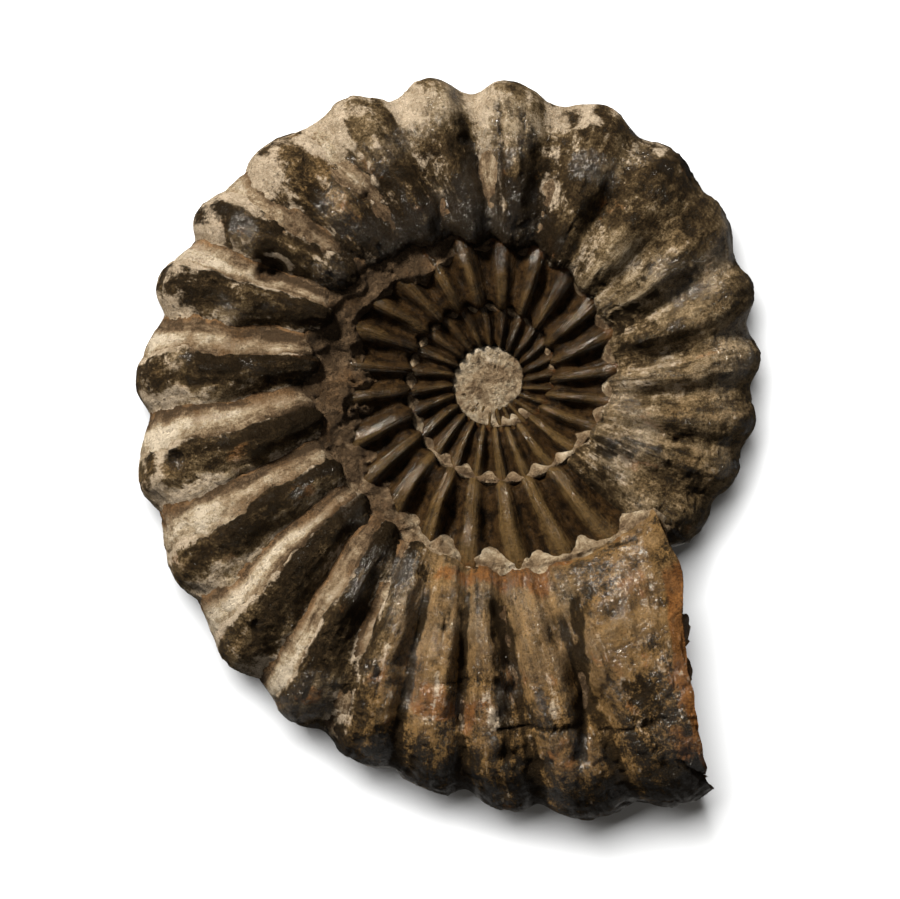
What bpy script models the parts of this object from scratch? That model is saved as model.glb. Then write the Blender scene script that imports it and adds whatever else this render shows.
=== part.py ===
"""Fossil ammonite: a coiled, ribbed shell turned to stone, lying on its flank.

The shell is a tube wound on a spiral. A place along it is its total angle in degrees, counted on from turn
to turn, counter-clockwise seen from above, with 0 towards +X. Seam is the line where a whorl's inner edge
meets the whorl before it, and venter is the tube's outer rim. The three visible turns are one strip of
columns: the outer edge of a turn's flank is the seam edge of the next turn.
"""

import bpy
import bmesh
import numpy as np

MM = 0.001

# The coil: where it starts and ends, and how far the seam lies from the coil axis.
FIRST_ANGLE = -758.0
LAST_TURN_ANGLE = -38.0
LAST_ANGLE = 322.0
TURN = 360.0
COLUMNS_PER_TURN = 138
GROWTH_PER_TURN = 1.92
SEAM = (
    (-758, 2.7 * MM), (-700, 3.1 * MM), (-640, 3.5 * MM), (-580, 3.8 * MM), (-520, 4.0 * MM),
    (-460, 4.4 * MM), (-400, 5.0 * MM), (-340, 6.1 * MM), (-280, 7.3 * MM), (-220, 8.0 * MM),
    (-160, 8.5 * MM), (-100, 9.6 * MM), (-40, 10.4 * MM), (20, 12.2 * MM), (80, 13.5 * MM),
    (140, 15.0 * MM), (200, 15.8 * MM), (260, 17.9 * MM), (322, 20.3 * MM),
)

# The last turn's ribs: angle at the venter, radius of the crest, depth of the furrow behind it.
LAST_TURN_RIBS = (
    (-35, 25.2 * MM, 0.8 * MM), (-21, 26.0 * MM, 0.6 * MM), (-9, 26.4 * MM, 0.7 * MM),
    (5, 26.7 * MM, 1.0 * MM), (20, 27.7 * MM, 1.3 * MM), (36, 28.7 * MM, 0.6 * MM),
    (51, 29.4 * MM, 0.6 * MM), (67, 29.9 * MM, 1.5 * MM), (87, 30.3 * MM, 1.6 * MM),
    (102, 31.2 * MM, 1.8 * MM), (118, 32.2 * MM, 1.3 * MM), (134, 33.0 * MM, 0.7 * MM),
    (149, 34.2 * MM, 1.6 * MM), (162, 35.0 * MM, 1.9 * MM), (178, 35.7 * MM, 2.0 * MM),
    (195, 36.6 * MM, 1.5 * MM), (211, 37.4 * MM, 1.3 * MM), (226, 38.6 * MM, 1.5 * MM),
    (239, 39.4 * MM, 1.3 * MM), (250, 40.1 * MM, 0.8 * MM), (261, 41.0 * MM, 0.8 * MM),
    (271, 42.4 * MM, 1.1 * MM), (282, 44.2 * MM, 1.1 * MM), (295, 46.0 * MM, 0.8 * MM),
)
MIDDLE_TURN_RIBS = (
    -414, -398, -382, -368, -352, -336, -320, -303, -288, -272, -256, -241, -226,
    -213, -200, -185, -172, -155, -141, -127, -111, -97, -81, -66, -52,
)
INNER_RIB_SPACING = 14.8
INNER_RIB_COUNT = 24
RIB_LEAN = 4.0
FURROW_SHARE_OF_HALF_THICKNESS = 0.17
MID_FLANK_GAIN = 0.3

# The tube's cross-section, as shares of the whorl height from seam to venter.
HALF_THICKNESS_SHARE = 0.40
THICKEST_SHARE = 0.42
SECTION_POWER = 2.4
OVERLAP = 1.52
FURROW_AT_SEAM = 0.6
UNDER_FURROW = 0.8

# Hardened sediment: the plug over the first turns, and the belt along the foot of the last turn's wall.
PLUG_APEX = (-0.4 * MM, -0.5 * MM)
PLUG_LEVEL = 1.7 * MM
BELT_WIDTH = 2.0 * MM
BELT_RISE = 0.6 * MM
BELT_MIDDLE_ANGLE = 170.0
BELT_HALF_SPAN = 80.0

# The broken mouth: how far the break runs back, from the seam to the venter, and where it starts.
BREAK_BACK = 22.8
BREAK_POWER = 1.6
BREAK_REACH = 45.0
BREAK_FACE_LEAN = 1.6
COVERED_BACK = 6.0
COVERED_FROM = 0.68
COVERED_REACH = 15.0

# Wear and crushing. Each swell: heading in degrees, wavelength, height. Each dent or lump on the upper
# flank: place across and up from the coil axis, radius, height.
SWELLS = ((25, 13.0 * MM, 0.20 * MM), (100, 9.0 * MM, 0.14 * MM), (160, 6.3 * MM, 0.10 * MM))
DENTS = (
    (-22.3 * MM, 11.3 * MM, 1.8 * MM, -0.8 * MM), (-31.0 * MM, -7.7 * MM, 1.6 * MM, -0.9 * MM),
    (-14.3 * MM, 26.6 * MM, 1.5 * MM, -0.8 * MM), (-3.0 * MM, 24.3 * MM, 1.5 * MM, -0.8 * MM),
    (-25.5 * MM, -22.2 * MM, 2.4 * MM, 0.6 * MM), (-5.5 * MM, 21.3 * MM, 2.0 * MM, 0.6 * MM),
    (-14.8 * MM, 18.3 * MM, 2.2 * MM, 0.7 * MM), (16.0 * MM, 18.0 * MM, 3.0 * MM, 0.7 * MM),
    (12.0 * MM, -33.0 * MM, 3.2 * MM, -0.7 * MM), (20.5 * MM, 5.0 * MM, 2.4 * MM, 0.5 * MM),
)
WEATHERED_FROM = 3.0 * MM

# How it lies: the coil axis from the middle of the outline, the tilt of the mid-plane, the worn crests.
AXIS_X = 4.55 * MM
AXIS_Y = 6.35 * MM
MID_LEVEL = 8.45 * MM
SLOPE_X = 0.03
SLOPE_Y = -0.05

TOP_ROWS = (0.0, 0.1, 0.3, 0.62, 1.0)
UNDER_ROWS = (0.0, 0.2, 0.5, 0.75, 1.0)
VENTER_STEPS = 10


def along(knots, angle):
    """Value on a smooth curve through (angle, value) pairs, with the slope at each from its neighbours."""
    places = np.array([knot[0] for knot in knots], dtype=float)
    values = np.array([knot[1] for knot in knots], dtype=float)
    slopes = np.gradient(values, places)
    angle = np.clip(angle, places[0], places[-1])
    left = np.clip(np.searchsorted(places, angle, side="right") - 1, 0, len(places) - 2)
    width = places[left + 1] - places[left]
    share = (angle - places[left]) / width
    rest = 1.0 - share
    return (
        values[left] * rest * rest * (1.0 + 2.0 * share)
        + values[left + 1] * share * share * (3.0 - 2.0 * share)
        + slopes[left] * width * share * rest * rest
        - slopes[left + 1] * width * share * share * rest
    )


def seam_radius(angle):
    """Radius of the seam, carried on by the growth of one turn outside the measured angles."""
    before = angle < FIRST_ANGLE
    after = angle > LAST_ANGLE
    measured = along(SEAM, angle + TURN * before - TURN * after)
    return measured * np.where(before, 1.0 / GROWTH_PER_TURN, np.where(after, GROWTH_PER_TURN, 1.0))


def whorl(angle):
    """Seam radius, next seam's radius, venter radius, thickest radius and half thickness of the tube."""
    seam = seam_radius(angle)
    next_seam = seam_radius(angle + TURN)
    crest = along([(rib[0], rib[1]) for rib in LAST_TURN_RIBS], angle)
    venter = np.where(angle < LAST_TURN_RIBS[0][0], seam + OVERLAP * (next_seam - seam), crest)
    height = venter - seam
    return seam, next_seam, venter, seam + THICKEST_SHARE * height, HALF_THICKNESS_SHARE * height


def rib_angles():
    """Every rib's total angle, from the innermost to the last."""
    first = MIDDLE_TURN_RIBS[0]
    inner = [first - INNER_RIB_SPACING * count for count in range(INNER_RIB_COUNT, 0, -1)]
    return np.array(inner + list(MIDDLE_TURN_RIBS) + [rib[0] for rib in LAST_TURN_RIBS], dtype=float)


def furrow_depth(angle):
    """Depth of the furrows: measured on the last turn, a share of the half thickness before it."""
    depths = [(rib[0], rib[2]) for rib in LAST_TURN_RIBS]
    half_thickness = whorl(angle)[4]
    inner = FURROW_SHARE_OF_HALF_THICKNESS * half_thickness
    return np.where(angle < LAST_TURN_RIBS[0][0], inner, along(depths, angle))


def furrow(angle, outward):
    """Depth cut below the rib crests, where outward is 0 at the seam and 1 at the venter.

    It is a raised cosine of the rib count, and the ribs lean forward on their way out.
    """
    leaning = angle + RIB_LEAN * (1.0 - outward)
    angles = rib_angles()
    count = np.interp(leaning, angles, np.arange(len(angles)))
    return furrow_depth(angle) * (0.5 - 0.5 * np.cos(2.0 * np.pi * count))


def section_height(radius, size):
    """Height of the smooth tube over its mid-plane: a superellipse on each side of the thickest radius."""
    seam, next_seam, venter, thickest, half_thickness = size
    share = np.clip((radius - thickest) / (venter - thickest), 0.0, 1.0)
    return half_thickness * (1.0 - share**SECTION_POWER) ** (1.0 / SECTION_POWER)


def seam_height(angle):
    """Height of the seam: that of the whorl before, where this whorl covers it."""
    return section_height(seam_radius(angle), whorl(angle - TURN))


def belt(angle):
    """Share of the sediment belt at an angle, a smooth hump over the span where the photo shows it."""
    away = np.clip((angle - BELT_MIDDLE_ANGLE) / BELT_HALF_SPAN, -1.0, 1.0)
    return np.cos(0.5 * np.pi * away) ** 2


def flank_point(angle, outward, side):
    """Radius and height on the flank, with outward 0 at the seam and 1 at the next seam."""
    size = whorl(angle)
    seam, next_seam, venter, thickest, half_thickness = size
    radius = seam + outward * (next_seam - seam)
    foot = seam + BELT_WIDTH * belt(angle)
    base = seam_height(angle)
    belt_top = base + BELT_RISE * belt(angle)
    climb = np.clip((radius - foot) / (thickest - foot), 0.0, 1.0)
    wall = belt_top + (half_thickness - belt_top) * (
        1.0 - (1.0 - climb) ** SECTION_POWER
    ) ** (1.0 / SECTION_POWER)
    on_belt = np.clip((radius - seam) / np.maximum(foot - seam, 0.01 * MM), 0.0, 1.0)
    inner = np.where(radius < foot, base + (belt_top - base) * on_belt, wall)
    height = np.where(radius < thickest, inner, section_height(radius, size))
    share = (radius - seam) / (venter - seam)
    depth = furrow(angle, share) * np.clip(FURROW_AT_SEAM + outward, 0.0, 1.0)
    depth *= 1.0 + MID_FLANK_GAIN * np.sin(np.pi * outward)
    if side < 0:
        depth *= UNDER_FURROW
    return radius, side * (height - depth)


def venter_point(angle, around):
    """Radius and height over the venter, with around +1 at the top flank's edge and -1 at the bottom's."""
    size = whorl(angle)
    seam, next_seam, venter, thickest, half_thickness = size
    edge = np.clip((next_seam - thickest) / (venter - thickest), 0.0, 1.0)
    turn = around * np.arccos(edge ** (SECTION_POWER / 2.0))
    radius = thickest + (venter - thickest) * np.cos(turn) ** (2.0 / SECTION_POWER)
    height = half_thickness * np.sign(turn) * np.abs(np.sin(turn)) ** (2.0 / SECTION_POWER)
    depth = furrow(angle, (radius - seam) / (venter - seam))
    return radius - depth * np.cos(turn), height - depth * np.sin(turn)


def set_back(column_angle, share, level):
    """Angle of a point once its column is swept back to follow the broken mouth.

    The last columns run back by a power of the share from seam to venter, most at the mouth itself. The
    break leans, so its edges lie further back than its middle. The first columns of the last turn follow
    the same line where the turn comes out from under the mouth.
    """
    near_mouth = np.clip((column_angle - LAST_ANGLE + BREAK_REACH) / BREAK_REACH, 0.0, 1.0) ** 2
    near_cover = np.clip((LAST_TURN_ANGLE + COVERED_REACH - column_angle) / COVERED_REACH, 0.0, 1.0) ** 2
    sweep = BREAK_BACK * (1.0 - (1.0 - share) ** BREAK_POWER) + BREAK_FACE_LEAN * level * share
    cover = COVERED_BACK * np.clip((share - COVERED_FROM) / (1.0 - COVERED_FROM), 0.0, 1.0)
    return column_angle - near_mouth * sweep - near_cover * cover


def weathering(across, up, side):
    """Height added to a flank: crossed waves, out of step on the two sides, and the dents on the upper."""
    added = np.zeros_like(across)
    for heading, wavelength, height in SWELLS:
        turned = np.radians(heading)
        run = across * np.cos(turned) + up * np.sin(turned)
        added += height * np.sin(2.0 * np.pi * run / wavelength + side)
    for at_x, at_y, radius, height in DENTS:
        away = (across - at_x) ** 2 + (up - at_y) ** 2
        added += np.where(side > 0, height, 0.0) * np.exp(-away / radius**2)
    return added


def place(angle, radius, height):
    """World position of a point of the tube, laid on the ground with its lowest crests worn flat."""
    turned = np.radians(angle)
    across = radius * np.cos(turned)
    up = radius * np.sin(turned)
    side = np.sign(height)
    weathered = side * weathering(across, up, side) * np.clip(np.abs(height) / WEATHERED_FROM, 0.0, 1.0)
    level = MID_LEVEL + SLOPE_X * across + SLOPE_Y * up + height + weathered
    return np.stack([across + AXIS_X, up + AXIS_Y, np.maximum(level, 0.0)], axis=-1)


def flank_rows(column_angles, rows, side):
    """Positions of every column's points on one flank, column by row."""
    angle = column_angles[:, None] + np.zeros(len(rows))
    outward = np.array(rows) + np.zeros_like(angle)
    seam, next_seam, venter, thickest, half_thickness = whorl(angle)
    share = outward * (next_seam - seam) / (venter - seam)
    last_turn = angle > LAST_TURN_ANGLE
    swept = np.where(last_turn, set_back(angle, share, 1.0), angle)
    radius, height = flank_point(swept, outward, side)
    return place(swept, radius, height)


def venter_rows(column_angles):
    """Positions of the last turn's points over the venter, between its two flanks, column by row."""
    around = np.linspace(1.0, -1.0, VENTER_STEPS + 1)[1:-1]
    angle = column_angles[:, None] + np.zeros(len(around))
    around = around + np.zeros_like(angle)
    seam, next_seam, venter, thickest, half_thickness = whorl(angle)
    radius, height = venter_point(angle, around)
    share = np.clip((radius - seam) / (venter - seam), 0.0, 1.0)
    level = np.abs(height) / half_thickness
    swept = set_back(angle, share, level)
    radius, height = venter_point(swept, around)
    return place(swept, radius, height)


def add_flank(mesh, positions):
    """Vertices and faces of one flank; each turn's outer edge reuses the next turn's seam vertices."""
    columns, rows = positions.shape[:2]
    grid = [[mesh.verts.new(point) for point in column[:-1]] for column in positions]
    for index, column in enumerate(grid):
        shared = index + COLUMNS_PER_TURN
        edge = grid[shared][0] if shared < columns else mesh.verts.new(positions[index][-1])
        column.append(edge)
    for index in range(columns - 1):
        for row in range(rows - 1):
            here = grid[index]
            ahead = grid[index + 1]
            mesh.faces.new((here[row], ahead[row], ahead[row + 1], here[row + 1]))
    return grid


def close_centre(mesh, grid, apex):
    """Plug of sediment: a fan from its apex to the first turn's seam edge and the tube's first section."""
    centre = mesh.verts.new(apex)
    rim = [grid[index][0] for index in range(COLUMNS_PER_TURN + 1)]
    rim += grid[0][-2:0:-1]
    for here, ahead in zip(rim, rim[1:] + rim[:1]):
        mesh.faces.new((centre, here, ahead))


def build_ammonite():
    """The whole fossil as one closed mesh."""
    turns = (LAST_ANGLE - FIRST_ANGLE) / TURN
    column_angles = np.linspace(FIRST_ANGLE, LAST_ANGLE, round(turns * COLUMNS_PER_TURN) + 1)
    start = len(column_angles) - 1 - COLUMNS_PER_TURN
    mesh = bmesh.new()
    top = add_flank(mesh, flank_rows(column_angles, TOP_ROWS, 1))
    under = add_flank(mesh, flank_rows(column_angles, UNDER_ROWS, -1))

    over_venter = venter_rows(column_angles[start:])
    bands = []
    for index, column in enumerate(over_venter):
        middle = [mesh.verts.new(point) for point in column]
        bands.append([top[start + index][-1]] + middle + [under[start + index][-1]])
    for here, ahead in zip(bands, bands[1:]):
        for row in range(len(here) - 1):
            mesh.faces.new((here[row], ahead[row], ahead[row + 1], here[row + 1]))

    apex = np.array(PLUG_APEX)
    level = MID_LEVEL + SLOPE_X * apex[0] + SLOPE_Y * apex[1]
    close_centre(mesh, top, (apex[0] + AXIS_X, apex[1] + AXIS_Y, level + PLUG_LEVEL))
    close_centre(mesh, under, (apex[0] + AXIS_X, apex[1] + AXIS_Y, level - PLUG_LEVEL))

    mouth = top[-1] + bands[-1][1:-1] + under[-1][::-1] + bands[0][-2:0:-1]
    edges = [mesh.edges.get(pair) for pair in zip(mouth, mouth[1:] + mouth[:1])]
    bmesh.ops.triangle_fill(mesh, edges=edges, use_beauty=True)
    bmesh.ops.triangulate(mesh, faces=mesh.faces)
    bmesh.ops.recalc_face_normals(mesh, faces=mesh.faces)
    if mesh.calc_volume(signed=True) < 0.0:
        bmesh.ops.reverse_faces(mesh, faces=mesh.faces)
    return mesh


def fossil_stone():
    """Dark brown fossil shell over tan sediment, taken as one dull stone."""
    material = bpy.data.materials.new("fossil_stone")
    material.use_nodes = True
    shader = material.node_tree.nodes["Principled BSDF"]
    shader.inputs["Base Color"].default_value = (0.10, 0.07, 0.045, 1.0)
    shader.inputs["Roughness"].default_value = 0.6
    shader.inputs["Metallic"].default_value = 0.0
    return material


for old in list(bpy.data.objects):
    bpy.data.objects.remove(old, do_unlink=True)

shape = build_ammonite()
data = bpy.data.meshes.new("ammonite")
shape.to_mesh(data)
shape.free()
data.materials.append(fossil_stone())
data.shade_smooth()
fossil = bpy.data.objects.new("ammonite", data)
bpy.context.scene.collection.objects.link(fossil)
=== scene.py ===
"""Fossil ammonite lying on a pale table, seen from straight above.

The shell is a tube wound on a spiral. A place along it is its total angle in degrees, counted on from turn
to turn, counter-clockwise from above, with 0 towards +X. Seam is the line where a turn's inner edge meets
the turn before it, and venter is the tube's outer rim. The fossil is laid up as the real one is: a ribbed
shell turned to dark stone, with hardened sediment in its furrows, along its seams and over its heart.
"""

from types import SimpleNamespace

import bpy
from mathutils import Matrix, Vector
import numpy as np


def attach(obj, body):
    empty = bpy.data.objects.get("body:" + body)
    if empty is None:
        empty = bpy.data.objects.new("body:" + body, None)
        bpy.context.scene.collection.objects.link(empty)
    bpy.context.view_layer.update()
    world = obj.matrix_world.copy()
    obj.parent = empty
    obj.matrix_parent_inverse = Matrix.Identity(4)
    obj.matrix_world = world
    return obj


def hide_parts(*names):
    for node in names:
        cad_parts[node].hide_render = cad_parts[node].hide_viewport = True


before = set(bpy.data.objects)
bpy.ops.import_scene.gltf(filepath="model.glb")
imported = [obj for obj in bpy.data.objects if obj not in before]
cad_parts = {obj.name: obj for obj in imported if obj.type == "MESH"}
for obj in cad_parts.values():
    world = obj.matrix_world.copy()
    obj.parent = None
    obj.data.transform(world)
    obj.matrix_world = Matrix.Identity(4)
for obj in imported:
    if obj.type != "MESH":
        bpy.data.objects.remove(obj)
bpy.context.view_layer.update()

# The last turn: shell turned to dark brown stone on a core of rock, ribbed, chipped and weathered. It is
# one tube that comes out from under the broken mouth, runs once round the coil and ends at the break.
MM = 0.001


def in_metres(rows, first_length):
    """Rows of numbers, those from the first length on turned from millimetres into metres."""
    return tuple(row[:first_length] + tuple(value * MM for value in row[first_length:]) for row in rows)


TURN = 360.0
FIRST_ANGLE = -758.0
LAST_TURN_ANGLE = -38.0
LAST_ANGLE = 322.0
GROWTH_PER_TURN = 1.92
SEAM = in_metres((
    (-758, 2.7), (-700, 3.1), (-640, 3.5), (-580, 3.8), (-520, 4.0),
    (-460, 4.4), (-400, 5.0), (-340, 6.1), (-280, 7.3), (-220, 8.0),
    (-160, 8.5), (-100, 9.6), (-40, 10.4), (20, 12.2), (80, 13.5),
    (140, 15.0), (200, 15.8), (260, 17.9), (322, 20.3),
), 1)
LAST_TURN_RIBS = in_metres((
    (-35, 25.2, 0.8), (-21, 26.0, 0.6), (-9, 26.4, 0.7),
    (5, 26.7, 1.0), (20, 27.7, 1.3), (36, 28.7, 0.6),
    (51, 29.4, 0.6), (67, 29.9, 1.5), (87, 30.3, 1.6),
    (102, 31.2, 1.8), (118, 32.2, 1.3), (134, 33.0, 0.7),
    (149, 34.2, 1.6), (162, 35.0, 1.9), (178, 35.7, 2.0),
    (195, 36.6, 1.5), (211, 37.4, 1.3), (226, 38.6, 1.5),
    (239, 39.4, 1.3), (250, 40.1, 0.8), (261, 41.0, 0.8),
    (271, 42.4, 1.1), (282, 44.2, 1.1), (295, 46.0, 0.8),
), 1)
MIDDLE_TURN_RIBS = (
    -414, -398, -382, -368, -352, -336, -320, -303, -288, -272, -256, -241, -226,
    -213, -200, -185, -172, -155, -141, -127, -111, -97, -81, -66, -52,
)
INNER_RIB_SPACING = 14.8
INNER_RIB_COUNT = 32
RIB_LEAN = 4.0
FURROW_SHARE_OF_HALF_THICKNESS = 0.17
MID_FLANK_GAIN = 0.3
HALF_THICKNESS_SHARE = 0.40
THICKEST_SHARE = 0.42
SECTION_POWER = 2.4
LEAST_WIDTH = 0.01 * MM
OVERLAP = 1.52
FURROW_AT_SEAM = 0.6
UNDER_FURROW = 0.8
BELT_WIDTH = 2.0 * MM
BELT_RISE = 0.6 * MM
BELT_MIDDLE_ANGLE = 170.0
BELT_HALF_SPAN = 80.0
BREAK_BACK = 22.8
BREAK_POWER = 1.6
BREAK_REACH = 45.0
BREAK_FACE_LEAN = 1.6
MOUTH_WOBBLE_BACK = 14.0
COVERED_BACK = 6.0
COVERED_FROM = 0.68
COVERED_REACH = 15.0
SWELLS = in_metres(((25, 13.0, 0.20), (100, 9.0, 0.14), (160, 6.3, 0.10)), 1)
DENTS = in_metres((
    (-22.3, 11.3, 1.8, -0.8), (-31.0, -7.7, 1.6, -0.9),
    (-14.3, 26.6, 1.5, -0.8), (-3.0, 24.3, 1.5, -0.8),
    (-25.5, -22.2, 2.4, 0.6), (-5.5, 21.3, 2.0, 0.6),
    (-14.8, 18.3, 2.2, 0.7), (16.0, 18.0, 3.0, 0.7),
    (12.0, -33.0, 3.2, -0.7), (20.5, 5.0, 2.4, 0.5),
), 0)
WEATHERED_FROM = 3.0 * MM
AXIS_X = 4.55 * MM
AXIS_Y = 6.35 * MM
MID_LEVEL = 8.45 * MM
SLOPE_X = 0.03
SLOPE_Y = -0.05

# Where the last turn's mesh takes over from the inner turns': the bottom of a furrow.
HANDOVER_ANGLE = -43.5
HANDOVER_LAP = 0.7
HANDOVER_SINK = 0.5 * MM
LAST_TURN_COLUMNS = 660
# Rows of the section: over the upper wall, the upper flank, the lower flank and the lower wall.
LAST_TURN_ROWS = (26, 74, 26, 10)
TUCK_IN = 0.04
TUCK_DOWN = 0.10
TUCK_LOWEST = 0.02
CAP_RINGS = 26
CAP_STREAK_WIDTH = 4.0 * MM
CAP_STREAK_LENGTH = 20.0 * MM

# Small damage seen from above: place across and up from the coil axis, radius, depth (under 0 for a lump).
PITS = in_metres((
    (-22.8, 11.2, 1.2, 0.7), (-21.8, 11.3, 1.1, 0.6),
    (-31.6, -7.7, 1.15, 0.8), (-3.0, 24.3, 0.55, 0.5),
    (-12.8, 18.4, 0.6, 0.4), (-1.6, -39.5, 0.55, 0.5),
    (-24.0, -23.3, 0.5, -0.35), (-24.7, -22.7, 0.5, -0.35),
    (-25.2, -21.9, 0.5, -0.3), (-14.6, 18.6, 1.2, -0.4),
    (-16.9, 10.9, 1.0, -0.4), (-5.5, 21.3, 1.1, -0.3),
    (6.2, -23.0, 0.6, 0.25), (11.5, -22.0, 0.9, -0.3),
), 0)
# Cracks and open ledges on the upper side: start and end across and up, depth.
CRACKS = in_metres((
    (-5.6, -30.0, 0.2, -29.3, 0.30),
    (0.6, -34.7, 8.7, -34.2, 0.34),
    (11.3, -35.1, 16.9, -33.2, 0.30),
    (18.2, -37.4, 20.9, -39.2, 0.34),
    (11.9, -16.0, 13.9, -15.3, 0.30),
    (-19.8, -15.8, -17.2, -16.6, 0.30),
    (0.6, 27.6, 1.0, 18.0, 0.30),
    (3.0, 27.0, 2.9, 20.0, 0.24),
), 0)
CRACK_WIDTH = 0.22 * MM
OVAL_PIT = (-22.3 * MM, 11.2 * MM)
OVAL_PIT_HALF_LENGTH = 1.6 * MM
OVAL_PIT_HALF_WIDTH = 1.15 * MM
# The broad dark grooves down the body chamber, in straight runs: start and end across and up, depth.
GROOVES = in_metres((
    (0.2, -21.5, 0.7, -28.0, 1.0), (0.7, -28.0, 1.3, -37.0, 0.9),
    (8.0, -21.5, 9.1, -28.7, 0.8), (9.1, -28.7, 8.6, -37.0, 1.0),
    (-4.9, -22.5, -6.5, -32.5, 0.5),
), 0)
GROOVE_WIDTH = 0.85 * MM
FLANK_EXTRA = 0.45 * MM
CHAMBER_EXTRA = 1.05 * MM
FURROW_SKEW = 0.07
# How full of sediment the furrows are: middle angle, half span, share.
FILL_SPANS = (
    (188.0, 75.0, 1.0), (128.0, 22.0, 0.55), (95.0, 45.0, 0.45), (-10.0, 45.0, 0.25), (262.0, 30.0, 0.3),
)
FILL_DEEPEST = 0.9 * MM
FILL_SKIN = 0.1 * MM
FILL_HOLLOW = 0.36
# Depth of the fill's edge as a share of the furrow's, and its tilt towards the next rib, at turn angles.
FILL_START = ((-50, 0.45), (90, 0.42), (130, 0.42), (160, 0.36), (235, 0.36), (262, 0.42), (322, 0.45))
FILL_TILT = (
    (-50, -0.10), (60, -0.16), (110, -0.12), (145, 0.14), (165, 0.28), (235, 0.26), (262, 0.0), (322, 0.0),
)


def along(knots, angle):
    """Value on a smooth curve through (angle, value) pairs, with the slope at each from its neighbours."""
    places = np.array([knot[0] for knot in knots], dtype=float)
    values = np.array([knot[1] for knot in knots], dtype=float)
    slopes = np.gradient(values, places)
    angle = np.clip(angle, places[0], places[-1])
    left = np.clip(np.searchsorted(places, angle, side="right") - 1, 0, len(places) - 2)
    width = places[left + 1] - places[left]
    share = (angle - places[left]) / width
    rest = 1.0 - share
    return (
        values[left] * rest * rest * (1.0 + 2.0 * share)
        + values[left + 1] * share * share * (3.0 - 2.0 * share)
        + slopes[left] * width * share * rest * rest
        - slopes[left + 1] * width * share * share * rest
    )


def straight(knots, angle):
    """Value on straight lines between (angle, value) pairs."""
    return np.interp(angle, [knot[0] for knot in knots], [knot[1] for knot in knots])


def seam_radius(angle):
    """Radius of the seam, carried on by the growth of one turn outside the measured angles."""
    before = angle < FIRST_ANGLE
    after = angle > LAST_ANGLE
    measured = along(SEAM, angle + TURN * before - TURN * after)
    return measured * np.where(before, 1.0 / GROWTH_PER_TURN, np.where(after, GROWTH_PER_TURN, 1.0))


def whorl(angle):
    """The tube at an angle: radii of its seam, the next seam, its venter and its thickest line, and half its
    thickness."""
    seam = seam_radius(angle)
    next_seam = seam_radius(angle + TURN)
    crest = along([rib[:2] for rib in LAST_TURN_RIBS], angle)
    venter = np.where(angle < LAST_TURN_RIBS[0][0], seam + OVERLAP * (next_seam - seam), crest)
    height = venter - seam
    return SimpleNamespace(
        seam=seam,
        next_seam=next_seam,
        venter=venter,
        thickest=seam + THICKEST_SHARE * height,
        half_thickness=HALF_THICKNESS_SHARE * height,
    )


def flank_share(tube, radius):
    """Share of the way from the seam, 0, to the venter, 1."""
    return np.clip((radius - tube.seam) / (tube.venter - tube.seam), 0.0, 1.0)


def window(value, middle, half_span):
    """Smooth hump, 1 at the middle and 0 from a half span away: a squared cosine."""
    away = np.clip((value - middle) / half_span, -1.0, 1.0)
    return np.cos(0.5 * np.pi * away) ** 2


def belt(angle):
    """Share of the sediment belt at an angle, over the span where it hides the foot of the wall."""
    return window(angle, BELT_MIDDLE_ANGLE, BELT_HALF_SPAN)


def rounded(share):
    """Height of a superellipse, 1 at its middle and 0 at its end, at a share of the way out."""
    return (1.0 - share**SECTION_POWER) ** (1.0 / SECTION_POWER)


def past_thickest(tube, radius):
    """Share of the way from the thickest line to the venter."""
    return np.clip((radius - tube.thickest) / np.maximum(tube.venter - tube.thickest, LEAST_WIDTH), 0.0, 1.0)


def seam_height(angle):
    """Height of the seam over the mid-plane: that of the turn before, past its thickest line."""
    before = whorl(angle - TURN)
    return before.half_thickness * rounded(past_thickest(before, seam_radius(angle)))


def tube_section(angle, bend):
    """Radius and height of the tube over its rib crests, where bend is the place round its section.

    Bend is pi at the foot of the upper wall, half pi at the thickest line, 0 on the venter, and the same with
    a minus below. The section is a superellipse from the thickest line to the venter, and one to the foot.
    """
    tube = whorl(angle)
    foot = tube.seam + BELT_WIDTH * belt(angle)
    base = seam_height(angle) + BELT_RISE * belt(angle)
    across = np.abs(np.cos(bend)) ** (2.0 / SECTION_POWER)
    up = np.abs(np.sin(bend)) ** (2.0 / SECTION_POWER)
    outer = np.abs(bend) <= 0.5 * np.pi
    radius = tube.thickest + np.where(outer, tube.venter - tube.thickest, foot - tube.thickest) * across
    height = np.where(outer, tube.half_thickness * up, base + (tube.half_thickness - base) * up)
    return radius, np.sign(bend) * height


def rib_count(angle, share):
    """How many ribs have passed at a place: whole on a crest, half-way in a furrow. Ribs lean forward."""
    first = MIDDLE_TURN_RIBS[0]
    inner = [first - INNER_RIB_SPACING * count for count in range(INNER_RIB_COUNT, 0, -1)]
    angles = np.array(inner + list(MIDDLE_TURN_RIBS) + [rib[0] for rib in LAST_TURN_RIBS], dtype=float)
    return np.interp(angle + RIB_LEAN * (1.0 - share), angles, np.arange(len(angles)))


def furrow_depth(angle):
    """Depth of the furrows: measured on the last turn, a share of the half thickness before it."""
    depths = [(rib[0], rib[2]) for rib in LAST_TURN_RIBS]
    inner = FURROW_SHARE_OF_HALF_THICKNESS * whorl(angle).half_thickness
    return np.where(angle < LAST_TURN_RIBS[0][0], inner, along(depths, angle))


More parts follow.
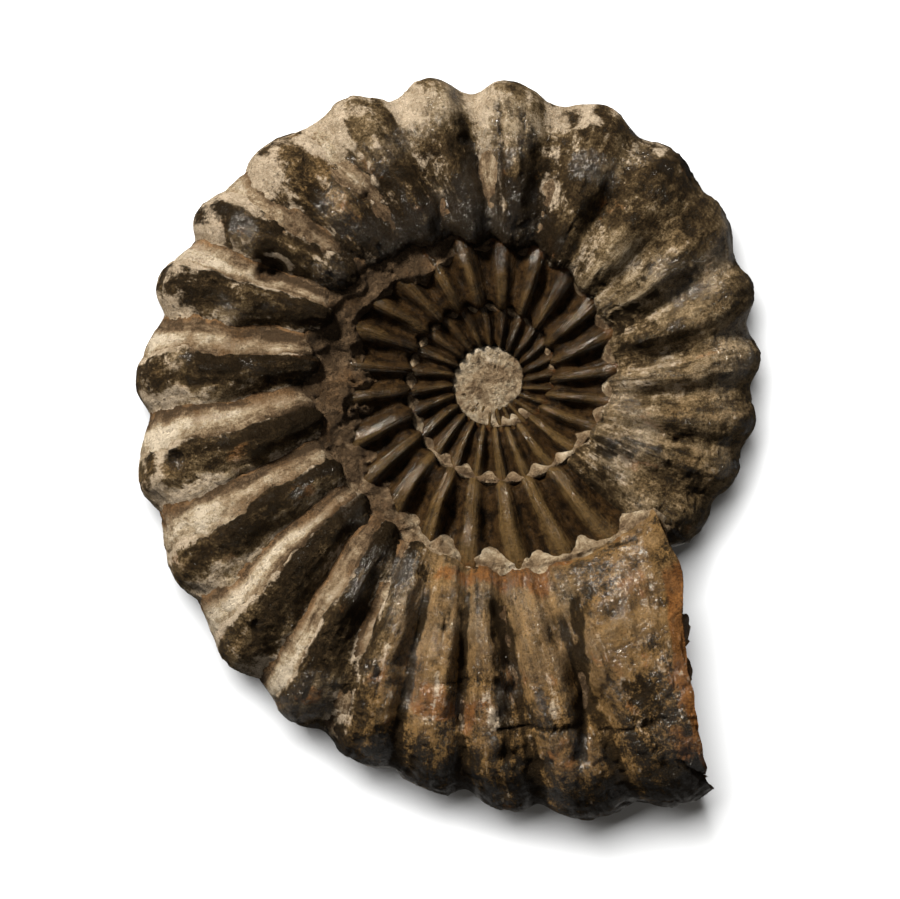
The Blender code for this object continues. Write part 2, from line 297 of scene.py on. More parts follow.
def furrow_gain(angle, radius, bend):
    """Share of the furrow depth at a place: less at the seam and below, more at mid-flank."""
    tube = whorl(angle)
    outward = np.clip((radius - tube.seam) / (tube.next_seam - tube.seam), 0.0, 1.0)
    gain = np.clip(FURROW_AT_SEAM + outward, 0.0, 1.0) * (1.0 + MID_FLANK_GAIN * np.sin(np.pi * outward))
    return gain * (1.0 - (1.0 - UNDER_FURROW) * np.clip(-bend, 0.0, 1.0))


def set_back(column_angle, share, level):
    """Angle of a point once its column is swept back to follow the broken mouth.

    The last columns run back by a power of the share from seam to venter, most at the mouth itself. The break
    leans, so its edges lie further back than its middle. The first columns start further back at the venter.
    """
    near_mouth = np.clip((column_angle - LAST_ANGLE + BREAK_REACH) / BREAK_REACH, 0.0, 1.0) ** 2
    near_cover = np.clip((LAST_TURN_ANGLE + COVERED_REACH - column_angle) / COVERED_REACH, 0.0, 1.0) ** 2
    sweep = BREAK_BACK * (1.0 - (1.0 - share) ** BREAK_POWER) + BREAK_FACE_LEAN * level * share
    cover = COVERED_BACK * np.clip((share - COVERED_FROM) / (1.0 - COVERED_FROM), 0.0, 1.0)
    lean = RIB_LEAN * (1.0 - share) * np.clip((LAST_ANGLE - column_angle) / BREAK_REACH, 0.0, 1.0)
    return column_angle - near_mouth * sweep - near_cover * cover - lean


def weathering(across, up, side):
    """Height added to a flank: crossed waves, out of step on the two sides, and the dents on the upper."""
    added = np.zeros_like(across)
    for heading, wavelength, height in SWELLS:
        turned = np.radians(heading)
        run = across * np.cos(turned) + up * np.sin(turned)
        added += height * np.sin(2.0 * np.pi * run / wavelength + side)
    for at_x, at_y, radius, height in DENTS:
        away = (across - at_x) ** 2 + (up - at_y) ** 2
        added += np.where(side > 0, height, 0.0) * np.exp(-away / radius**2)
    return added


def place(angle, radius, height, ground=0.0):
    """World position of a point, laid on the ground with its lowest crests worn flat."""
    turned = np.radians(angle)
    across = radius * np.cos(turned)
    up = radius * np.sin(turned)
    side = np.sign(height)
    weathered = side * weathering(across, up, side) * np.clip(np.abs(height) / WEATHERED_FROM, 0.0, 1.0)
    level = MID_LEVEL + SLOPE_X * across + SLOPE_Y * up + height + weathered
    return np.stack([across + AXIS_X, up + AXIS_Y, np.maximum(level, ground)], axis=-1)


def scrambled(cells, seed):
    """A whole number for each cell of a lattice: its coordinates times large primes, folded and mixed."""
    mixed = np.full(cells.shape[:-1], seed * 374761393 + 668265263, dtype=np.uint64)
    for axis, prime in enumerate((2246822519, 3266489917, 2654435761)):
        mixed ^= cells[..., axis].astype(np.int64).astype(np.uint64) * np.uint64(prime)
        mixed = (mixed ^ (mixed >> np.uint64(17))) * np.uint64(11400714819323198485)
    return mixed ^ (mixed >> np.uint64(31))


def part_of(number, which):
    """One of the three 20-bit parts of a scrambled number, as a share from 0 to 1."""
    return ((number >> np.uint64(20 * which)) & np.uint64(0xFFFFF)).astype(float) / 0xFFFFF


def lumps(points, size, seed):
    """Smooth noise about -1 to 1: slopes picked at the corners of cubes of a size, blended across each."""
    scaled = points / size + seed * 17.31
    corner = np.floor(scaled)
    inside = scaled - corner
    smooth = inside**3 * (inside * (6.0 * inside - 15.0) + 10.0)
    total = np.zeros(points.shape[:-1])
    for which in range(8):
        step = np.array([which & 1, which >> 1 & 1, which >> 2 & 1])
        number = scrambled(corner + step, seed)
        slope = np.stack([part_of(number, axis) for axis in range(3)], axis=-1) * 2.0 - 1.0
        weight = np.prod(np.where(step == 1, smooth, 1.0 - smooth), axis=-1)
        total += weight * np.sum(slope * (inside - step), axis=-1)
    return 1.7 * total


def layered(points, *layers):
    """Sum of noises, each given as weight, size in millimetres and seed."""
    return sum(weight * lumps(points, size * MM, seed) for weight, size, seed in layers)


def along_ribs(count, share, bend, across, along_rib, seed):
    """Noise drawn out along the ribs: so many lumps from rib to rib, so many from seam to venter."""
    return lumps(np.stack([count * across, share * along_rib, np.sign(bend)], axis=-1), 1.0, seed)


def specks(points, size, seed):
    """Distance to the nearest of points strewn one to a cube, in cubes, and that point's lot from 0 to 1."""
    scaled = points / size + seed * 11.7
    corner = np.floor(scaled)
    nearest = np.full(points.shape[:-1], 9.0)
    lot = np.zeros(points.shape[:-1])
    for which in range(27):
        cell = corner + np.array([which % 3 - 1, which // 3 % 3 - 1, which // 9 - 1])
        number = scrambled(cell, seed)
        spot = cell + np.stack([part_of(number, axis) for axis in range(3)], axis=-1)
        away = np.sqrt(np.sum((spot - scaled) ** 2, axis=-1))
        closer = away < nearest
        nearest = np.where(closer, away, nearest)
        lot = np.where(closer, part_of(scrambled(cell, seed + 7), 1), lot)
    return nearest, lot


def step_up(value, start, width):
    """0 below start, 1 past start + width, with a smooth step between."""
    share = np.clip((value - start) / width, 0.0, 1.0)
    return share * share * (3.0 - 2.0 * share)


def from_axis(points):
    """Place across and up from the coil axis."""
    return points[..., 0] - AXIS_X, points[..., 1] - AXIS_Y


def pitted(points, upper):
    """Depth of the named pits and lumps: a bowl of a half-cosine from each one's rim to its middle."""
    across, up = from_axis(points)
    depth = np.zeros_like(across)
    for at_x, at_y, radius, deep in PITS:
        away = np.sqrt((across - at_x) ** 2 + (up - at_y) ** 2) / radius
        depth += deep * (1.0 - step_up(away, 0.55, 0.5)) * upper
    return depth


def from_oval_pit(points):
    """Distance from the middle of the oval pit on the left, as a share of its half length and half width."""
    across, up = from_axis(points)
    return np.hypot((across - OVAL_PIT[0]) / OVAL_PIT_HALF_LENGTH, (up - OVAL_PIT[1]) / OVAL_PIT_HALF_WIDTH)


def cracked(points, upper, lines, width):
    """Depth of the named cracks or grooves: a bell of the distance to each wandering line."""
    across, up = from_axis(points)
    across = across + (0.2 * MM + 0.25 * width) * lumps(points, 1.5 * MM, 41)
    up = up + 0.25 * MM * lumps(points, 1.5 * MM, 42)
    depth = np.zeros_like(across)
    for from_x, from_y, to_x, to_y, deep in lines:
        run_x = to_x - from_x
        run_y = to_y - from_y
        share = ((across - from_x) * run_x + (up - from_y) * run_y) / (run_x**2 + run_y**2)
        share = np.clip(share, 0.0, 1.0)
        away = (across - from_x - share * run_x) ** 2 + (up - from_y - share * run_y) ** 2
        depth = np.maximum(depth, deep * upper * np.exp(-away / width**2))
    return depth


def section_bends(rows):
    """Section places from the foot of the upper wall round the venter to the foot of the lower wall."""
    half = 0.5 * np.pi
    return np.concatenate([
        np.linspace(2.0 * half, half, rows[0], endpoint=False),
        np.linspace(half, 0.0, rows[1], endpoint=False),
        np.linspace(0.0, -half, rows[2], endpoint=False),
        np.linspace(-half, -2.0 * half, rows[3]),
    ])


def tucked_in(radius, height, angle, depth):
    """Section rows and two more inside the turn before, under each foot, that close the section unseen."""
    angle = angle[:, :1]
    tube = whorl(angle)
    thickness = tube.venter - tube.seam
    tuck_radius = tube.seam + BELT_WIDTH * belt(angle) - TUCK_IN * thickness
    tuck_height = seam_height(angle) - TUCK_DOWN * thickness - depth[:, :1]
    tuck_height = np.maximum(tuck_height, TUCK_LOWEST * thickness)
    radius = np.concatenate([radius, tuck_radius, tuck_radius], axis=1)
    return radius, np.concatenate([height, -tuck_height, tuck_height], axis=1)


def grid_faces(columns, rows):
    """Quads of a grid of columns whose rows close into a ring: corners here, ahead, ahead's next, next."""
    column = np.arange(columns - 1)[:, None] * rows
    row = np.arange(rows)[None, :]
    following = (row + 1) % rows
    ahead = column + rows
    quads = np.stack([column + row, ahead + row, ahead + following, column + following], axis=-1)
    return quads.reshape(-1, 4)


def fan_faces(ring, centre):
    """Triangles from a ring of vertices to one centre vertex."""
    ahead = np.roll(ring, -1)
    return np.stack([ring, ahead, np.full_like(ring, centre)], axis=-1)


def add_mesh(name, positions, quads, triangles, attributes):
    """An object from positions, faces and point attributes, its faces turned to point outwards."""
    first, second, third = (positions[triangles[:, corner]] for corner in range(3))
    halves = np.concatenate([quads[:, [0, 1, 2]], quads[:, [0, 2, 3]]])
    a, b, c = (positions[halves[:, corner]] for corner in range(3))
    volume = np.sum(a * np.cross(b, c)) + np.sum(first * np.cross(second, third))
    if volume < 0.0:
        quads = quads[:, ::-1]
        triangles = triangles[:, ::-1]
    data = bpy.data.meshes.new(name)
    data.vertices.add(len(positions))
    data.vertices.foreach_set("co", positions.astype(np.float32).ravel())
    loops = np.concatenate([quads.ravel(), triangles.ravel()])
    data.loops.add(len(loops))
    data.loops.foreach_set("vertex_index", loops.astype(np.int32))
    starts = np.concatenate([
        np.arange(len(quads)) * 4,
        len(quads) * 4 + np.arange(len(triangles)) * 3,
    ])
    data.polygons.add(len(starts))
    data.polygons.foreach_set("loop_start", starts.astype(np.int32))
    data.update(calc_edges=True)
    data.validate()
    for label, values in attributes.items():
        layer = data.attributes.new(label, "FLOAT", "POINT")
        layer.data.foreach_set("value", values.astype(np.float32))
    data.shade_smooth()
    data.set_sharp_from_angle(angle=np.radians(52.0))
    thing = bpy.data.objects.new(name, data)
    bpy.context.scene.collection.objects.link(thing)
    return thing


def column_angles(count, first, last, samples, power):
    """Column angles from first to last, whose spacing shrinks as a power of the venter's radius grows."""
    fine = np.linspace(first, last, samples)
    run = np.concatenate([[0.0], np.cumsum(whorl(fine).venter[1:] ** power)])
    return np.interp(np.linspace(0.0, run[-1], count), run, fine)


def furrow_wave(count):
    """0 where the count of ribs is whole, on a crest, and 1 half-way to the next, in a furrow."""
    return 0.5 - 0.5 * np.cos(2.0 * np.pi * count)


def ribbed(points, angle, share):
    """Ribs passed, and 0 on a crest to 1 in a furrow: ribs wander, and the left's furrows lie behind."""
    wander = layered(points, (0.06, 6.0, 12), (0.03, 2.5, 13))
    count = rib_count(angle, share) + wander * step_up(LAST_ANGLE - 22.0 - angle, 0.0, 10.0)
    skew = FURROW_SKEW * window(angle, 195.0, 75.0) * (1.0 - step_up(share, 0.65, 0.25))
    return count, furrow_wave(count - skew * furrow_wave(count))


def full_depth(angle, share, radius, bend):
    """Depth of a furrow's floor under the crests: that of the ribs, and more at mid-flank."""
    chamber = step_up(angle, 240.0, 14.0)
    deep = furrow_depth(angle) * furrow_gain(angle, radius, bend)
    deep = deep + FLANK_EXTRA * window(share, 0.42, 0.42) * (1.0 - chamber)
    return deep + CHAMBER_EXTRA * chamber * window(share, 0.45, 0.5) * step_up(bend, 0.0, 0.6)


def shell_wear(points, angle, share, bend, count):
    """Height added over the shell, how flaked it is, where a flake's edge runs, and how high it stands.

    The height is a sum of swells, grain, flaked layers, small pits and lines along the ribs, less the named
    pits, cracks and grooves.
    """
    upper = step_up(bend, 0.0, 0.5)
    body = step_up(angle, 244.0, 14.0)
    relief = layered(points, (0.15, 4.5, 1), (0.12, 2.0, 2), (0.07, 0.95, 3), (0.05, 0.5, 4))
    broad_lines = along_ribs(count, share, bend, 3.0, 3.0, 10)
    worn = layered(points, (0.45, 3.4, 5), (0.22, 1.3, 6), (0.12, 0.6, 7))
    worn += 0.30 * broad_lines + 0.36 * along_ribs(count, share, bend, 5.0, 2.2, 11)
    flaked = step_up(worn, 0.06, 0.05)
    deeper = step_up(worn, 0.38, 0.05)
    crust = step_up(-worn, 0.34, 0.05)
    edge = window(worn, 0.05, 0.05) + window(worn, 0.37, 0.05) + window(-worn, 0.35, 0.04)
    relief += 0.18 * crust - 0.20 * flaked - 0.20 * deeper + 0.08 * broad_lines
    away, lot = specks(points, 1.5 * MM, 8)
    relief -= 0.25 * (1.0 - step_up(away, 0.12, 0.16)) * (lot > 0.86)
    relief += (0.06 + 0.05 * body) * along_ribs(count, share, bend, 9.0, 5.0, 9)
    relief *= 1.0 - 0.35 * step_up(share, 0.75, 0.2)
    relief += body * layered(points, (0.16, 2.8, 18), (0.10, 1.2, 19))
    cracks = cracked(points, upper, CRACKS, CRACK_WIDTH)
    high = np.clip(0.5 + relief - 1.8 * cracks / MM, 0.0, 1.0)
    damage = pitted(points, upper) + cracks + cracked(points, upper, GROOVES, GROOVE_WIDTH)
    return SimpleNamespace(height=relief * MM - damage, flaked=flaked, edge=edge, high=high)


def fill_share(angle, bend):
    """How full the furrows are: the greatest of the named spans' humps, and less underneath."""
    full = np.zeros_like(angle)
    for middle, half_span, most in FILL_SPANS:
        full = np.maximum(full, most * window(angle, middle, half_span) ** 0.35)
    return full * (0.75 + 0.25 * step_up(bend, -1.2, 1.2))


def fill_level(points, angle, share, bend, count, hollow, deep):
    """Depth of the sediment's surface under the crests: hollowed, tilted up the next rib, and crumbly."""
    full = fill_share(angle, bend) + 0.22 * lumps(points, 5.0 * MM, 51)
    crumbs = layered(points, (0.13, 1.9, 52), (0.08, 0.8, 53), (0.06, 0.45, 54))
    crumbs += 0.07 * along_ribs(count, share, bend, 7.0, 4.0, 56)
    sunk = FILL_DEEPEST * step_up(0.75 - full, 0.0, 0.55)
    tilt = straight(FILL_TILT, angle) * np.sin(2.0 * np.pi * count)
    surface = deep * (straight(FILL_START, angle) + FILL_HOLLOW * hollow + tilt)
    return surface + sunk + FILL_SKIN - crumbs * MM


def shell_places(points, angle, share, bend, count, near_break):
    """The points' places, and how far each belongs to each region of the shell, from 0 to 1.

    Regions lie over the turn, over the way from seam to venter, and over the rib's profile. Past is the place
    on the rib, less than 0 before its crest.
    """
    past = count - np.round(count)
    towards_left = step_up(angle, 126.0, 22.0) * (1.0 - step_up(angle, 246.0, 16.0))
    lit_left = step_up(past, 0.10, 0.26) + step_up(-past, 0.13, 0.08)
    lit_right = step_up(past, 0.04, 0.20) + step_up(-past, 0.36, 0.10)
    return SimpleNamespace(
        points=points,
        angle=angle,
        share=share,
        past=past,
        near_break=near_break,
        chamber=step_up(angle, 240.0, 16.0),
        left=window(angle, 198.0, 60.0) ** 0.6,
        right=window(angle, -5.0, 72.0) ** 0.6,
        top=window(angle, 92.0, 42.0) ** 0.6,
        corner=window(angle, 131.0, 24.0),
        outer=step_up(share, 0.50, 0.40),
        inner=1.0 - step_up(share, 0.28, 0.30),
        wall=1.0 - step_up(share, 0.05, 0.28),
        rim=step_up(share, 0.72, 0.20),
        crest=window(past, 0.02, 0.34),
        behind=step_up(past, 0.06, 0.34),
        lit_side=towards_left * lit_left + (1.0 - towards_left) * lit_right,
        upper=step_up(bend, 0.0, 0.5),
        underneath=step_up(-bend, -0.2, 0.8),
        patchy=lumps(points, 5.5 * MM, 14),
        small=lumps(points, 2.2 * MM, 15),
    )


def weathered_and_painted_shade_share(at, flaked, high):
    """Worn from black to olive and tan, most on the right, the top's rim and the chamber's seam; painted
    shade on the walls and the chamber's rim.
    """
    weathered = 0.18 + at.right * (0.52 - 0.05 * at.outer) + at.top * (0.08 + 0.48 * at.outer)
    # The chamber's rim turned away from the lamp is darker: painted shade.
    weathered += at.chamber * (0.28 + 0.62 * at.inner - 0.36 * at.rim) + at.left * (0.02 + 0.26 * at.outer)
    weathered += at.corner * (0.12 + 0.14 * at.outer) + at.behind * (0.55 * at.left + 0.11 * at.top)
    weathered += 0.48 * window(at.angle, 42.0, 32.0) * at.inner
    weathered -= 0.40 * step_up(at.angle, 288.0, 8.0) * (1.0 - at.near_break)
    weathered += at.near_break * (0.55 * at.small + 0.45 * at.patchy - 0.22)
    # Darker at the foot of the walls: painted shade.
    weathered -= 0.22 * at.wall * (1.0 - 0.7 * at.right)
    # Paler where the relief stands high, darker in low spots and cracks: partly wear, partly painted shade.
    return weathered + 0.12 * flaked + 0.60 * (high - 0.5) + 0.22 * at.patchy + 0.18 * at.small


def golden_share(at):
    """Golden: the body chamber, less so the right, the upper left and the outer crests on the left."""
    golden = at.chamber * (0.95 + 0.35 * at.patchy) + 0.40 * at.right + 0.45 * at.corner + 0.2 * at.top
    return golden + 0.40 * at.left * at.crest * at.outer


def rusty_share(at, edge):
    """Rusty: in the chamber by the seam, at the break, on some flakes' edges and in patches."""
    rust = 1.3 * window(at.angle, 274.0, 30.0) * (1.0 - step_up(at.share, 0.03, 0.10))
    rust += 1.25 * at.near_break * step_up(at.share, 0.12, 0.12) + 0.25 * (at.patchy + at.small - 0.1)
    rust += 0.55 * at.chamber * step_up(at.patchy, 0.10, 0.35)
    rust += 0.55 * step_up(lumps(at.points, 3.6 * MM, 16), 0.30, 0.3)
    return rust + 0.35 * edge * step_up(at.small, 0.0, 0.4)


def chalk_and_painted_light_share(at, edge, gap, in_pit):
    """Chalk and painted light: the ribs' sides and the rim towards the lamp painted paler, partly chalk;
    chalk on flakes' edges, the sediment's edge and round the oval pit.
    """
    lit = 0.62 * at.left + 0.45 * at.corner + 0.52 * at.top + 0.50 * at.right * at.inner
    # Painted light: the ribs' sides towards the lamp are paler.
    chalk_and_painted_light = at.lit_side * lit * (0.45 + 0.55 * at.outer)
    # The rim on the lamp's side: partly chalk, partly painted light.
    rim = at.rim * window(at.angle, 140.0, 100.0) ** 0.5
    chalk_and_painted_light += rim * (0.40 + 0.45 * at.lit_side + 0.40 * at.small)
    chalk_and_painted_light += 0.22 * at.small * (1.0 - at.chamber) + 0.14 * at.right * at.inner
    chalk_and_painted_light += 0.40 * edge * (0.30 + 0.70 * step_up(at.patchy, -0.2, 0.4))
    chalk_and_painted_light += 0.40 * (1.0 - step_up(gap, 0.0, 0.45 * MM)) * (0.6 + 0.9 * at.small)
    flake = window(at.angle, 271.0, 7.0) * window(at.share, 0.62, 0.30)
    chalk_and_painted_light += 0.45 * flake * step_up(at.small, -0.2, 0.4)
    ridges = at.chamber * window(at.past, 0.02, 0.16) * (1.0 - step_up(at.angle, 290.0, 6.0))
    chalk_and_painted_light += 0.42 * ridges * window(at.share, 0.45, 0.45) * (0.6 + 1.2 * at.small)
    # Painted light on the sides towards the lamp, inside at the upper right.
    chalk_and_painted_light += 0.30 * window(at.angle, 48.0, 26.0) * at.inner * at.lit_side
    chalk_and_painted_light += (0.75 + 0.9 * at.small) * window(from_oval_pit(at.points), 1.35, 0.38)
    return chalk_and_painted_light - 2.0 * in_pit - 0.55 * at.underneath


def black_and_painted_shade_share(at, high):
    """Black shell before the crests on the left and in patches; painted shade on walls, shaded sides, the
    top's inside, chamber furrows, grooves, rim and low spots.
    """
    black_and_painted_shade = 0.85 * at.left * window(at.past, -0.06, 0.17) * (1.0 - 0.7 * at.outer)
    # Painted shade on the walls.
    black_and_painted_shade += 0.5 * at.wall * (1.0 - at.right) * (1.0 - 0.9 * at.chamber)
    # Painted shade on the ribs' sides turned from the lamp, at the top and on the right, partly dark shell.
    black_and_painted_shade += (0.6 * at.top + 0.40 * at.right) * window(at.past, -0.24, 0.20) * (1.0 - 0.7 * at.rim)
    # Painted shade inside at the top, where the last turn's wall casts its shadow.
    black_and_painted_shade += 0.72 * (at.top + at.corner) * at.inner
    # Painted shade in the chamber's furrows.
    black_and_painted_shade += 0.85 * at.chamber * step_up(np.abs(at.past), 0.34, 0.12) * step_up(at.share, 0.05, 0.2)
    patches = step_up(lumps(at.points, 4.2 * MM, 17), 0.22, 0.3)
    # Black patches of shell; the chamber's rim term is painted shade.
    black_and_painted_shade += 0.35 * patches * (1.0 - 0.7 * at.rim) * (1.0 - 0.6 * at.chamber) + 0.25 * at.chamber * at.rim
    # Painted shade in low spots and cracks.
    black_and_painted_shade += 0.6 * step_up(0.34 - high, 0.0, 0.25)
    # Painted shade in the named grooves.
    grooved = cracked(at.points, at.upper, GROOVES, GROOVE_WIDTH)
    black_and_painted_shade += 0.8 * step_up(grooved, 0.25 * MM, 0.5 * MM)
    return black_and_painted_shade * (1.0 - 0.75 * at.near_break)


def glossy_share(at, chalk_and_painted_light, black_and_painted_shade, in_pit):
    """Glossy: patches, the body chamber, the inner half at the top and the oval pit; dull where chalky."""
    gloss = 0.10 + 0.9 * step_up(at.patchy, 0.0, 0.4) * (1.0 - 0.6 * at.left) + 0.3 * at.right * at.crest
    gloss += 0.5 * at.chamber + 0.5 * (at.top + at.corner) * at.inner + in_pit
    return gloss - 0.8 * chalk_and_painted_light - 0.6 * at.near_break - 0.60 * at.chamber * np.clip(black_and_painted_shade, 0.0, 1.0)


def shell_colours(at, wear, gap):
    """The shell's masks, each from 0 to 1. Gap is how far the shell stands over the sediment."""
    in_pit = step_up(pitted(at.points, at.upper), 0.15 * MM, 0.15 * MM)
    chalk_and_painted_light = chalk_and_painted_light_share(at, wear.edge, gap, in_pit)
    black_and_painted_shade = black_and_painted_shade_share(at, wear.high)
    masks = {
        "weathered": weathered_and_painted_shade_share(at, wear.flaked, wear.high) - 0.10 * in_pit,
        "golden": golden_share(at),
        "rust": rusty_share(at, wear.edge),
        "chalk_and_painted_light": chalk_and_painted_light,
        "black_and_painted_shade": black_and_painted_shade,
        "gloss": glossy_share(at, chalk_and_painted_light, black_and_painted_shade, in_pit),
    }
    return {label: np.clip(mask, 0.0, 1.0) for label, mask in masks.items()}


def shrinking():
    """How wide each ring of a cap is, as a share of the tube's end: a column from nearly 1 to nearly 0."""
    return (1.0 - np.linspace(0.0, 1.0, CAP_RINGS + 1)[1:-1])[:, None]


def cap(kind, radius, height, angle, share, level, ground):
    """Rings that close one end of a tube: its last section shrunk step by step to a point.

    A mouth follows the sweep of the break and is rough away from its edge, and never juts out past it. A sunk
    end is flat.
    """
    shrink = shrinking()
    middle_radius = 0.5 * (radius.min() + radius.max())
    ring_radius = middle_radius + (radius - middle_radius) * shrink
    ring_height = height * shrink
    if kind == "sunk":
        return place(angle.mean() + (angle - angle.mean()) * shrink, ring_radius, ring_height, ground)
    flat = np.stack([ring_radius, ring_height, np.zeros_like(ring_radius)], axis=-1)
    rough = layered(flat, (0.9, 4.0, 21), (0.5, 1.7, 22), (0.22, 0.7, 23))
    ledge = step_up(lumps(flat, 5.0 * MM, 24), 0.05, 0.08) + step_up(lumps(flat, 3.0 * MM, 27), 0.10, 0.08)
    push = np.minimum(1.1 * rough + 0.70 * (ledge - 0.8) - 1.5, -0.1) * MM * step_up(1.0 - shrink, 0.0, 0.14)
    ring_share = 0.5 + (share - 0.5) * shrink
    swept = angle - set_back(LAST_ANGLE, share, level) + set_back(LAST_ANGLE, ring_share, level * shrink)
    return place(swept + np.degrees(push / ring_radius), ring_radius, ring_height, ground)


def cap_mask(label, edge, radius, height):
    """A mask on an end's rings: its edge's values faded to their mean, or streak places laid out flat."""
    shrink = shrinking()
    inside = np.full(edge.shape, edge.mean()) * np.ones_like(shrink)
    if label == "rib_place":
        inside = edge.mean() + height * shrink / CAP_STREAK_WIDTH
    if label == "rib_share":
        inside = 0.5 + (radius - radius.mean()) * shrink / CAP_STREAK_LENGTH
    return edge + (inside - edge) * step_up(1.0 - shrink, 0.0, 0.15)


def closed_tube(name, columns, masks, ends, ground=0.0):
    """A tube from its columns' angle, radius, height, share and level arrays, closed at both ends."""
    angle, radius, height, share, level = columns
    count, rows = angle.shape
    positions = [place(angle, radius, height, ground).reshape(-1, 3)]
    quads = [grid_faces(count, rows)]
    triangles = []
    values = {label: [mask.ravel()] for label, mask in masks.items()}
    values["broken"] = [np.zeros(count * rows)]
    for end, first in ((0, 0), (-1, (count - 1) * rows)):
        rings = cap(ends[end], radius[end], height[end], angle[end], share[end], level[end], ground)
        start = sum(len(block) for block in positions)
        edge = first + np.arange(rows)
        ring = start + np.arange(rows)
        band = np.stack([edge, ring, np.roll(ring, -1), np.roll(edge, -1)], axis=-1)
        inner = grid_faces(CAP_RINGS - 1, rows) + start
        fan = fan_faces(start + (CAP_RINGS - 2) * rows + np.arange(rows), start + rings.shape[0] * rows)
        if end == 0:
            band = band[:, ::-1]
            inner = inner[:, ::-1]
            fan = fan[:, ::-1]
        quads += [band, inner]
        triangles.append(fan)
        positions += [rings.reshape(-1, 3), rings[-1].mean(axis=0)[None, :]]
        for label, mask in masks.items():
            spread = cap_mask(label, mask[end], radius[end], height[end])
            values[label].append(np.append(spread.ravel(), spread[-1].mean()))
        values["broken"].append(np.full(rings.shape[0] * rows + 1, float(ends[end] == "mouth")))
    return add_mesh(
        name,
        np.concatenate(positions),
        np.concatenate(quads),
        np.concatenate(triangles),
        {label: np.concatenate(blocks) for label, blocks in values.items()},
    )


def with_tuck(array):
    """A column-by-row array with two more rows, which repeat the feet of the lower and the upper wall."""
    return np.concatenate([array, array[:, -1:], array[:, :1]], axis=1)


def mouth_wobble(column, share):
    """Degrees by which the broken edge juts out: a corner near the seam and noise, gone some way back."""
    edge = np.stack([share * 5.0, np.zeros_like(share), np.zeros_like(share)], axis=-1)
    jut = 1.4 * window(share, 0.26, 0.16) + 1.0 * lumps(edge, 1.0, 25) + 0.5 * lumps(edge * 3.0, 1.0, 26)
    return jut * step_up(column, LAST_ANGLE - MOUTH_WOBBLE_BACK, MOUTH_WOBBLE_BACK)


def swept_columns(columns, bends):
    """Angle, share and level of every point, its column swept back by where it lies on the section."""
    column = columns[:, None] + np.zeros(len(bends))
    bend = bends[None, :] + np.zeros_like(column)
    angle = column
    for _ in range(3):
        tube = whorl(angle)
        radius, height = tube_section(angle, bend)
        share = flank_share(tube, radius)
        level = np.where(np.abs(bend) < 0.5 * np.pi, np.abs(height) / tube.half_thickness, 1.0)
        angle = set_back(column, share, level) + mouth_wobble(column, share)
    return column, bend, angle, share, level


def build_last_turn():
    """The last turn as one closed tube: section rows along swept columns, a sunk start and a rough break."""
    columns = column_angles(LAST_TURN_COLUMNS, HANDOVER_ANGLE - HANDOVER_LAP, LAST_ANGLE, 2000, 1.0)
    column, bend, angle, share, level = swept_columns(columns, section_bends(LAST_TURN_ROWS))
    radius, height = tube_section(angle, bend)
    points = place(angle, radius, height)
    count, hollow = ribbed(points, angle, share)
    groove = hollow ** (1.25 + 1.3 * step_up(angle, 246.0, 12.0))
    knob = 0.25 * MM * window(share, 0.86, 0.22) * (1.0 - groove)
    deep = full_depth(angle, share, radius, bend)
    wear = shell_wear(points, angle, share, bend, count)
    lap = np.clip((HANDOVER_ANGLE + HANDOVER_LAP - column) / (2.0 * HANDOVER_LAP), 0.0, 1.0)
    push = wear.height + knob - deep * groove - HANDOVER_SINK * lap
    gap = fill_level(points, angle, share, bend, count, hollow, deep) + push
    at = shell_places(points, angle, share, bend, count, step_up(column, LAST_ANGLE - 8.5, 4.0))
    masks = shell_colours(at, wear, gap) | {"rib_place": count, "rib_share": share}
    radius, height = radius + push * np.cos(bend), height + push * np.sin(bend)
    radius, height = tucked_in(radius, height, angle, deep * groove)
    return closed_tube(
        "last_turn",
        (with_tuck(angle), radius, height, with_tuck(share), with_tuck(level)),
        {label: with_tuck(mask) for label, mask in masks.items()},
        {0: "sunk", -1: "mouth"},
    )


def tree_of(name):
    """A new material, its node tree and its shader."""
    material = bpy.data.materials.new(name)
    material.use_nodes = True
    tree = material.node_tree
    return material, tree, tree.nodes["Principled BSDF"]


def add_node(tree, kind, inputs=(), **settings):
    """A node of a kind with its settings. Inputs are pairs of a socket and a value or a node's output."""
    node = tree.nodes.new(kind)
    for key, value in settings.items():
        setattr(node, key, value)
    for socket, value in inputs:
        if isinstance(value, bpy.types.NodeSocket):
            tree.links.new(value, node.inputs[socket])
        else:
            node.inputs[socket].default_value = value
    return node


def number(tree, operation, *values, clamp=False):
    """Output of a sum worked on one or two values."""
    node = add_node(tree, "ShaderNodeMath", enumerate(values), operation=operation, use_clamp=clamp)
    return node.outputs[0]


def attribute(tree, name):
    """A point attribute's value."""
    return add_node(tree, "ShaderNodeAttribute", attribute_name=name).outputs["Fac"]


def grain(tree, where, per_metre, detail=4.0, roughness=0.6):
    """Noise from 0 to 1 of so many lumps a metre."""
    return add_node(
        tree, "ShaderNodeTexNoise",
        [("Vector", where), ("Scale", per_metre), ("Detail", detail), ("Roughness", roughness)],
    ).outputs["Fac"]


def streaks(tree, across, along_rib, detail=5.0, roughness=0.65):
    """Noise drawn out along the ribs: so many lumps from rib to rib, and so many from seam to rim."""
    place_on_rib = add_node(tree, "ShaderNodeCombineXYZ", [
        (0, number(tree, "MULTIPLY", attribute(tree, "rib_place"), across)),
        (1, number(tree, "MULTIPLY", attribute(tree, "rib_share"), along_rib)),
    ]).outputs[0]
    return grain(tree, place_on_rib, 1.0, detail, roughness)


